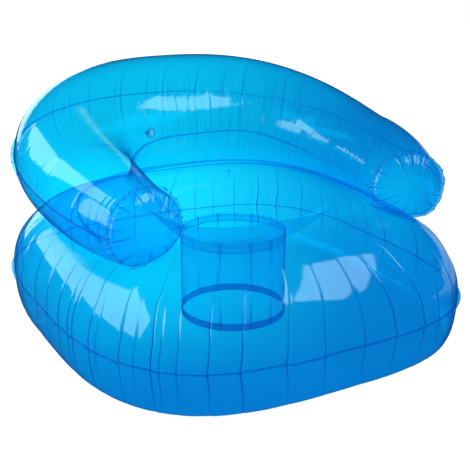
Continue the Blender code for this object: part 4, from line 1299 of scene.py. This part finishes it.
for result, start, steps in (
    ("left share", "off left", (("MULTIPLY", "near part"), ("MULTIPLY", -1.0), ("ADD", 1.0))),
    ("light share", "off side", (("MULTIPLY", "off front"), ("MULTIPLY", "left share"))),
    # Behind the far arm's end a painted pool of light makes the floor paler again.
    ("spot side", "bearing", (("SUBTRACT", 0.215), ("DIVIDE", 0.05), ("POWER", 2.0))),
    ("spot", "depth", (("SUBTRACT", 1.2), ("DIVIDE", 0.6), ("POWER", 2.0), ("ADD", "spot side"))),
    ("spot", "spot", (("MULTIPLY", -1.0), ("EXPONENT", 0.0), ("MULTIPLY", 0.42))),
    ("light share", "light share", (("ADD", "spot"), ("MINIMUM", 1.0))),
    # A camera ray that has passed a film sees the floor through it.
    ("is through", "Transparent Depth", (("GREATER_THAN", 0.5), ("MULTIPLY", "Is Camera Ray"))),
    # What mirrored and scattered rays find.
    ("mirrored", "Is Glossy Ray", (("ADD", "Is Transmission Ray"), ("MULTIPLY", mirrored_glow))),
    ("sweep", "far off", (("MULTIPLY", "far back"), ("MULTIPLY", "far right"))),
    ("sweep", "sweep", (("MULTIPLY", "Is Glossy Ray"),)),
    ("unseen", "Is Diffuse Ray", (("MULTIPLY", scattered_glow), ("ADD", "mirrored"), ("ADD", "sweep"))),
    # What the camera finds through the films: painted light, brighter near the chair and brightest in a ring
    # round it.
    ("ring", "reach", (("SUBTRACT", 1.4), ("DIVIDE", 0.7), ("POWER", 2.0), ("MULTIPLY", -1.0))),
    ("ring", "ring", (("EXPONENT", 0.0), ("MULTIPLY", 0.16), ("ADD", 1.0))),
    ("through", "through", (("MULTIPLY", "ring"),)),
    ("films", "Transparent Depth", (("SUBTRACT", bare_films), ("MAXIMUM", 0.0), ("MINIMUM", counted_films))),
    ("films", "films", (("MULTIPLY", one_film_glow), ("ADD", 1.0))),
    ("through", "films", (("MULTIPLY", "through"), ("MULTIPLY", "is through"))),
    ("glow", "by reach", (("MAXIMUM", "through"), ("MULTIPLY", "Is Camera Ray"), ("ADD", "unseen"))),
    ("shadow share", "Is Camera Ray", (("SUBTRACT", "is through"), ("MAXIMUM", 0.0))),
):
    value = terms[start]
    for operation, term in steps:
        inputs = {0: value, 1: terms.get(term, term)}
        value = add_node(tree, "ShaderNodeMath", inputs, operation=operation).outputs[0]
    terms[result] = value

inputs = {"Factor": terms["light share"], 6: shade_tint, 7: white}
seen_through = add_node(tree, "ShaderNodeMix", inputs, data_type="RGBA").outputs[2]
inputs = {"Factor": terms["is through"], 6: white, 7: seen_through}
paper = add_node(tree, "ShaderNodeMix", inputs, data_type="RGBA").outputs[2]
lit = add_node(tree, "ShaderNodeBsdfDiffuse", {"Color": lit_grey}).outputs[0]
lit = add_node(tree, "ShaderNodeMixShader", {0: terms["shadow share"], 2: lit}).outputs[0]
glow = add_node(tree, "ShaderNodeEmission", {"Color": paper, "Strength": terms["glow"]}).outputs[0]
both = add_node(tree, "ShaderNodeAddShader", {0: lit, 1: glow}).outputs[0]
add_node(tree, "ShaderNodeOutputMaterial", {"Surface": both})
floor_mesh.materials.append(floor_paint)
floor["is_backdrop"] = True
print("the floor's material has", len(tree.nodes), "nodes")

# %% [markdown]
# ## Sky
#
# The sky is plain white to the camera and to all light that the pieces scatter. Only mirrored rays find
# another one, nearly black with two soft bright parts low over the horizon. So the film's gloss shows
# bright bands with dark ones beside them, as in a studio with two windows.

# %% Light the sky
plain_sky, dark_sky = 1.0, 0.02
side_fade, top_fade = 0.01, 0.06

world = bpy.data.worlds.new("studio")
scene.world = world
world.use_nodes = True
tree = world.node_tree
tree.nodes.clear()
terms = {socket.name: socket for socket in add_node(tree, "ShaderNodeLightPath").outputs}
direction = add_node(tree, "ShaderNodeTexCoord").outputs["Generated"]
high = add_node(tree, "ShaderNodeSeparateXYZ", {0: direction}).outputs["Z"]
mirrored = dark_sky
for bearing, half_width, top, brightness in ((3.0, 11.0, 0.42, 3.2), (72.0, 20.0, 0.14, 1.1)):
    bearing, half_width = math.radians(bearing), math.radians(half_width)
    inputs = {0: direction, 1: (math.sin(bearing), math.cos(bearing), 0.0)}
    towards = add_node(tree, "ShaderNodeVectorMath", inputs, operation="DOT_PRODUCT").outputs["Value"]
    edge = math.cos(half_width) * math.sqrt(1.0 - 0.25 * top**2)
    within_sides, below_top = (
        add_node(tree, "ShaderNodeMapRange", {0: value, 1: start, 2: end, 3: 0.0, 4: most}).outputs[0]
        for value, start, end, most in (
            (towards, edge, edge + side_fade, brightness), (high, top, top - top_fade, 1.0),
        )
    )
    inputs = {0: within_sides, 1: below_top, 2: mirrored}
    mirrored = add_node(tree, "ShaderNodeMath", inputs, operation="MULTIPLY_ADD").outputs[0]
terms["mirrored"] = mirrored
for result, start, steps in (
    ("is mirrored", "Is Glossy Ray", (("ADD", "Is Transmission Ray"), ("MINIMUM", 1.0))),
    ("strength", "mirrored", (("SUBTRACT", plain_sky), ("MULTIPLY", "is mirrored"), ("ADD", plain_sky))),
    ("strength", "strength", (("MAXIMUM", "Is Camera Ray"),)),
):
    value = terms[start]
    for operation, term in steps:
        inputs = {0: value, 1: terms.get(term, term)}
        value = add_node(tree, "ShaderNodeMath", inputs, operation=operation).outputs[0]
    terms[result] = value
sky = add_node(tree, "ShaderNodeBackground", {"Color": white, "Strength": terms["strength"]})
add_node(tree, "ShaderNodeOutputWorld", {"Surface": sky.outputs[0]})
print("the sky has", len(tree.nodes), "nodes")

# %% [markdown]
# ## Lamps
#
# Large softboxes draw the broad highlights. Blender can link a lamp to a collection, so that it lights
# only those pieces: one softbox is for the seat, two are for the tube, and the last lights everything.
# Each is placed by the point that it faces, a direction and a distance. None of them is seen itself.

# %% Hang the lamps
def softbox(name, aim, azimuth, elevation, distance, roll, width, tall, brightness, lit_pieces=None):
    """A rectangular lamp that faces the point aim from a direction, turned by roll, all in degrees."""
    azimuth, elevation, roll = (math.radians(angle) for angle in (azimuth, elevation, roll))
    lamp = bpy.data.lights.new(name, "AREA")
    lamp.shape = "RECTANGLE"
    lamp.size, lamp.size_y = width, tall
    lamp.energy = brightness * math.pi * width * tall
    level = math.cos(elevation)
    away = Vector((math.sin(azimuth) * level, math.cos(azimuth) * level, math.sin(elevation)))
    across = Vector((0.0, 0.0, 1.0)).cross(away).normalized()
    upright = away.cross(across)
    across, upright = (
        across * math.cos(roll) + upright * math.sin(roll),
        upright * math.cos(roll) - across * math.sin(roll),
    )
    made = bpy.data.objects.new(name, lamp)
    made.location = Vector(aim) + away * distance
    made.rotation_euler = Matrix((across, upright, away)).transposed().to_euler()
    made.visible_camera = False
    scene.collection.objects.link(made)
    if lit_pieces is not None:
        made.light_linking.receiver_collection = lit_pieces
    print(name, "hangs at", [round(side, 2) for side in made.location])


seat_pieces, tube_pieces = (bpy.data.collections.new(name) for name in ("lit_seat", "lit_tube"))
for piece in scene.objects:
    if piece.type == "MESH" and piece.name.startswith(("back_", "right_", "left_")):
        tube_pieces.objects.link(piece)
    elif piece.type == "MESH" and piece is not floor:
        seat_pieces.objects.link(piece)

softbox("seat_softbox", (-0.311, 0.133, 0.170), -67.6, 30.2, 1.42, -0.3, 2.80, 1.08, 3.8, seat_pieces)
softbox("arm_softbox", (-0.42, -0.04, 0.49), -46.4, 40.7, 0.80, 44.1, 1.04, 0.36, 4.0, tube_pieces)
softbox("back_softbox", (-0.745, -1.037, 0.226), -67.6, 30.2, 1.42, -0.3, 1.8, 0.90, 4.0, tube_pieces)
softbox("right_softbox", (-0.05, -0.15, 0.38), 133.6, 39.6, 1.62, 34.3, 1.18, 0.48, 3.6)

# %% [markdown]
# ## Soft films
#
# Air fills both chambers. The six large films round it are listed here by name.

# %% List the films round the air
padded_films = ["seat_upper_film", "seat_lower_film", "back_upper_film", "back_lower_film"]
padded_films += ["right_arm_disc", "left_arm_disc"]
print("padded films:", len(padded_films))

# %% [markdown]
# ## Finish
#
# A ray from the camera passes a few dozen film faces on its way through both chambers, so the limit on
# transparent bounces is raised. The colours go out as they are, with the Standard view transform. Last,
# the finished chair's box is printed in millimetres.

# %% Set the view and write the sizes
scene.cycles.transparent_max_bounces = 96
scene.view_settings.view_transform = "Standard"
bpy.context.view_layer.update()
low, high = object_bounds()
print("visual box in mm", [round(1000 * side, 1) for side in high - low])
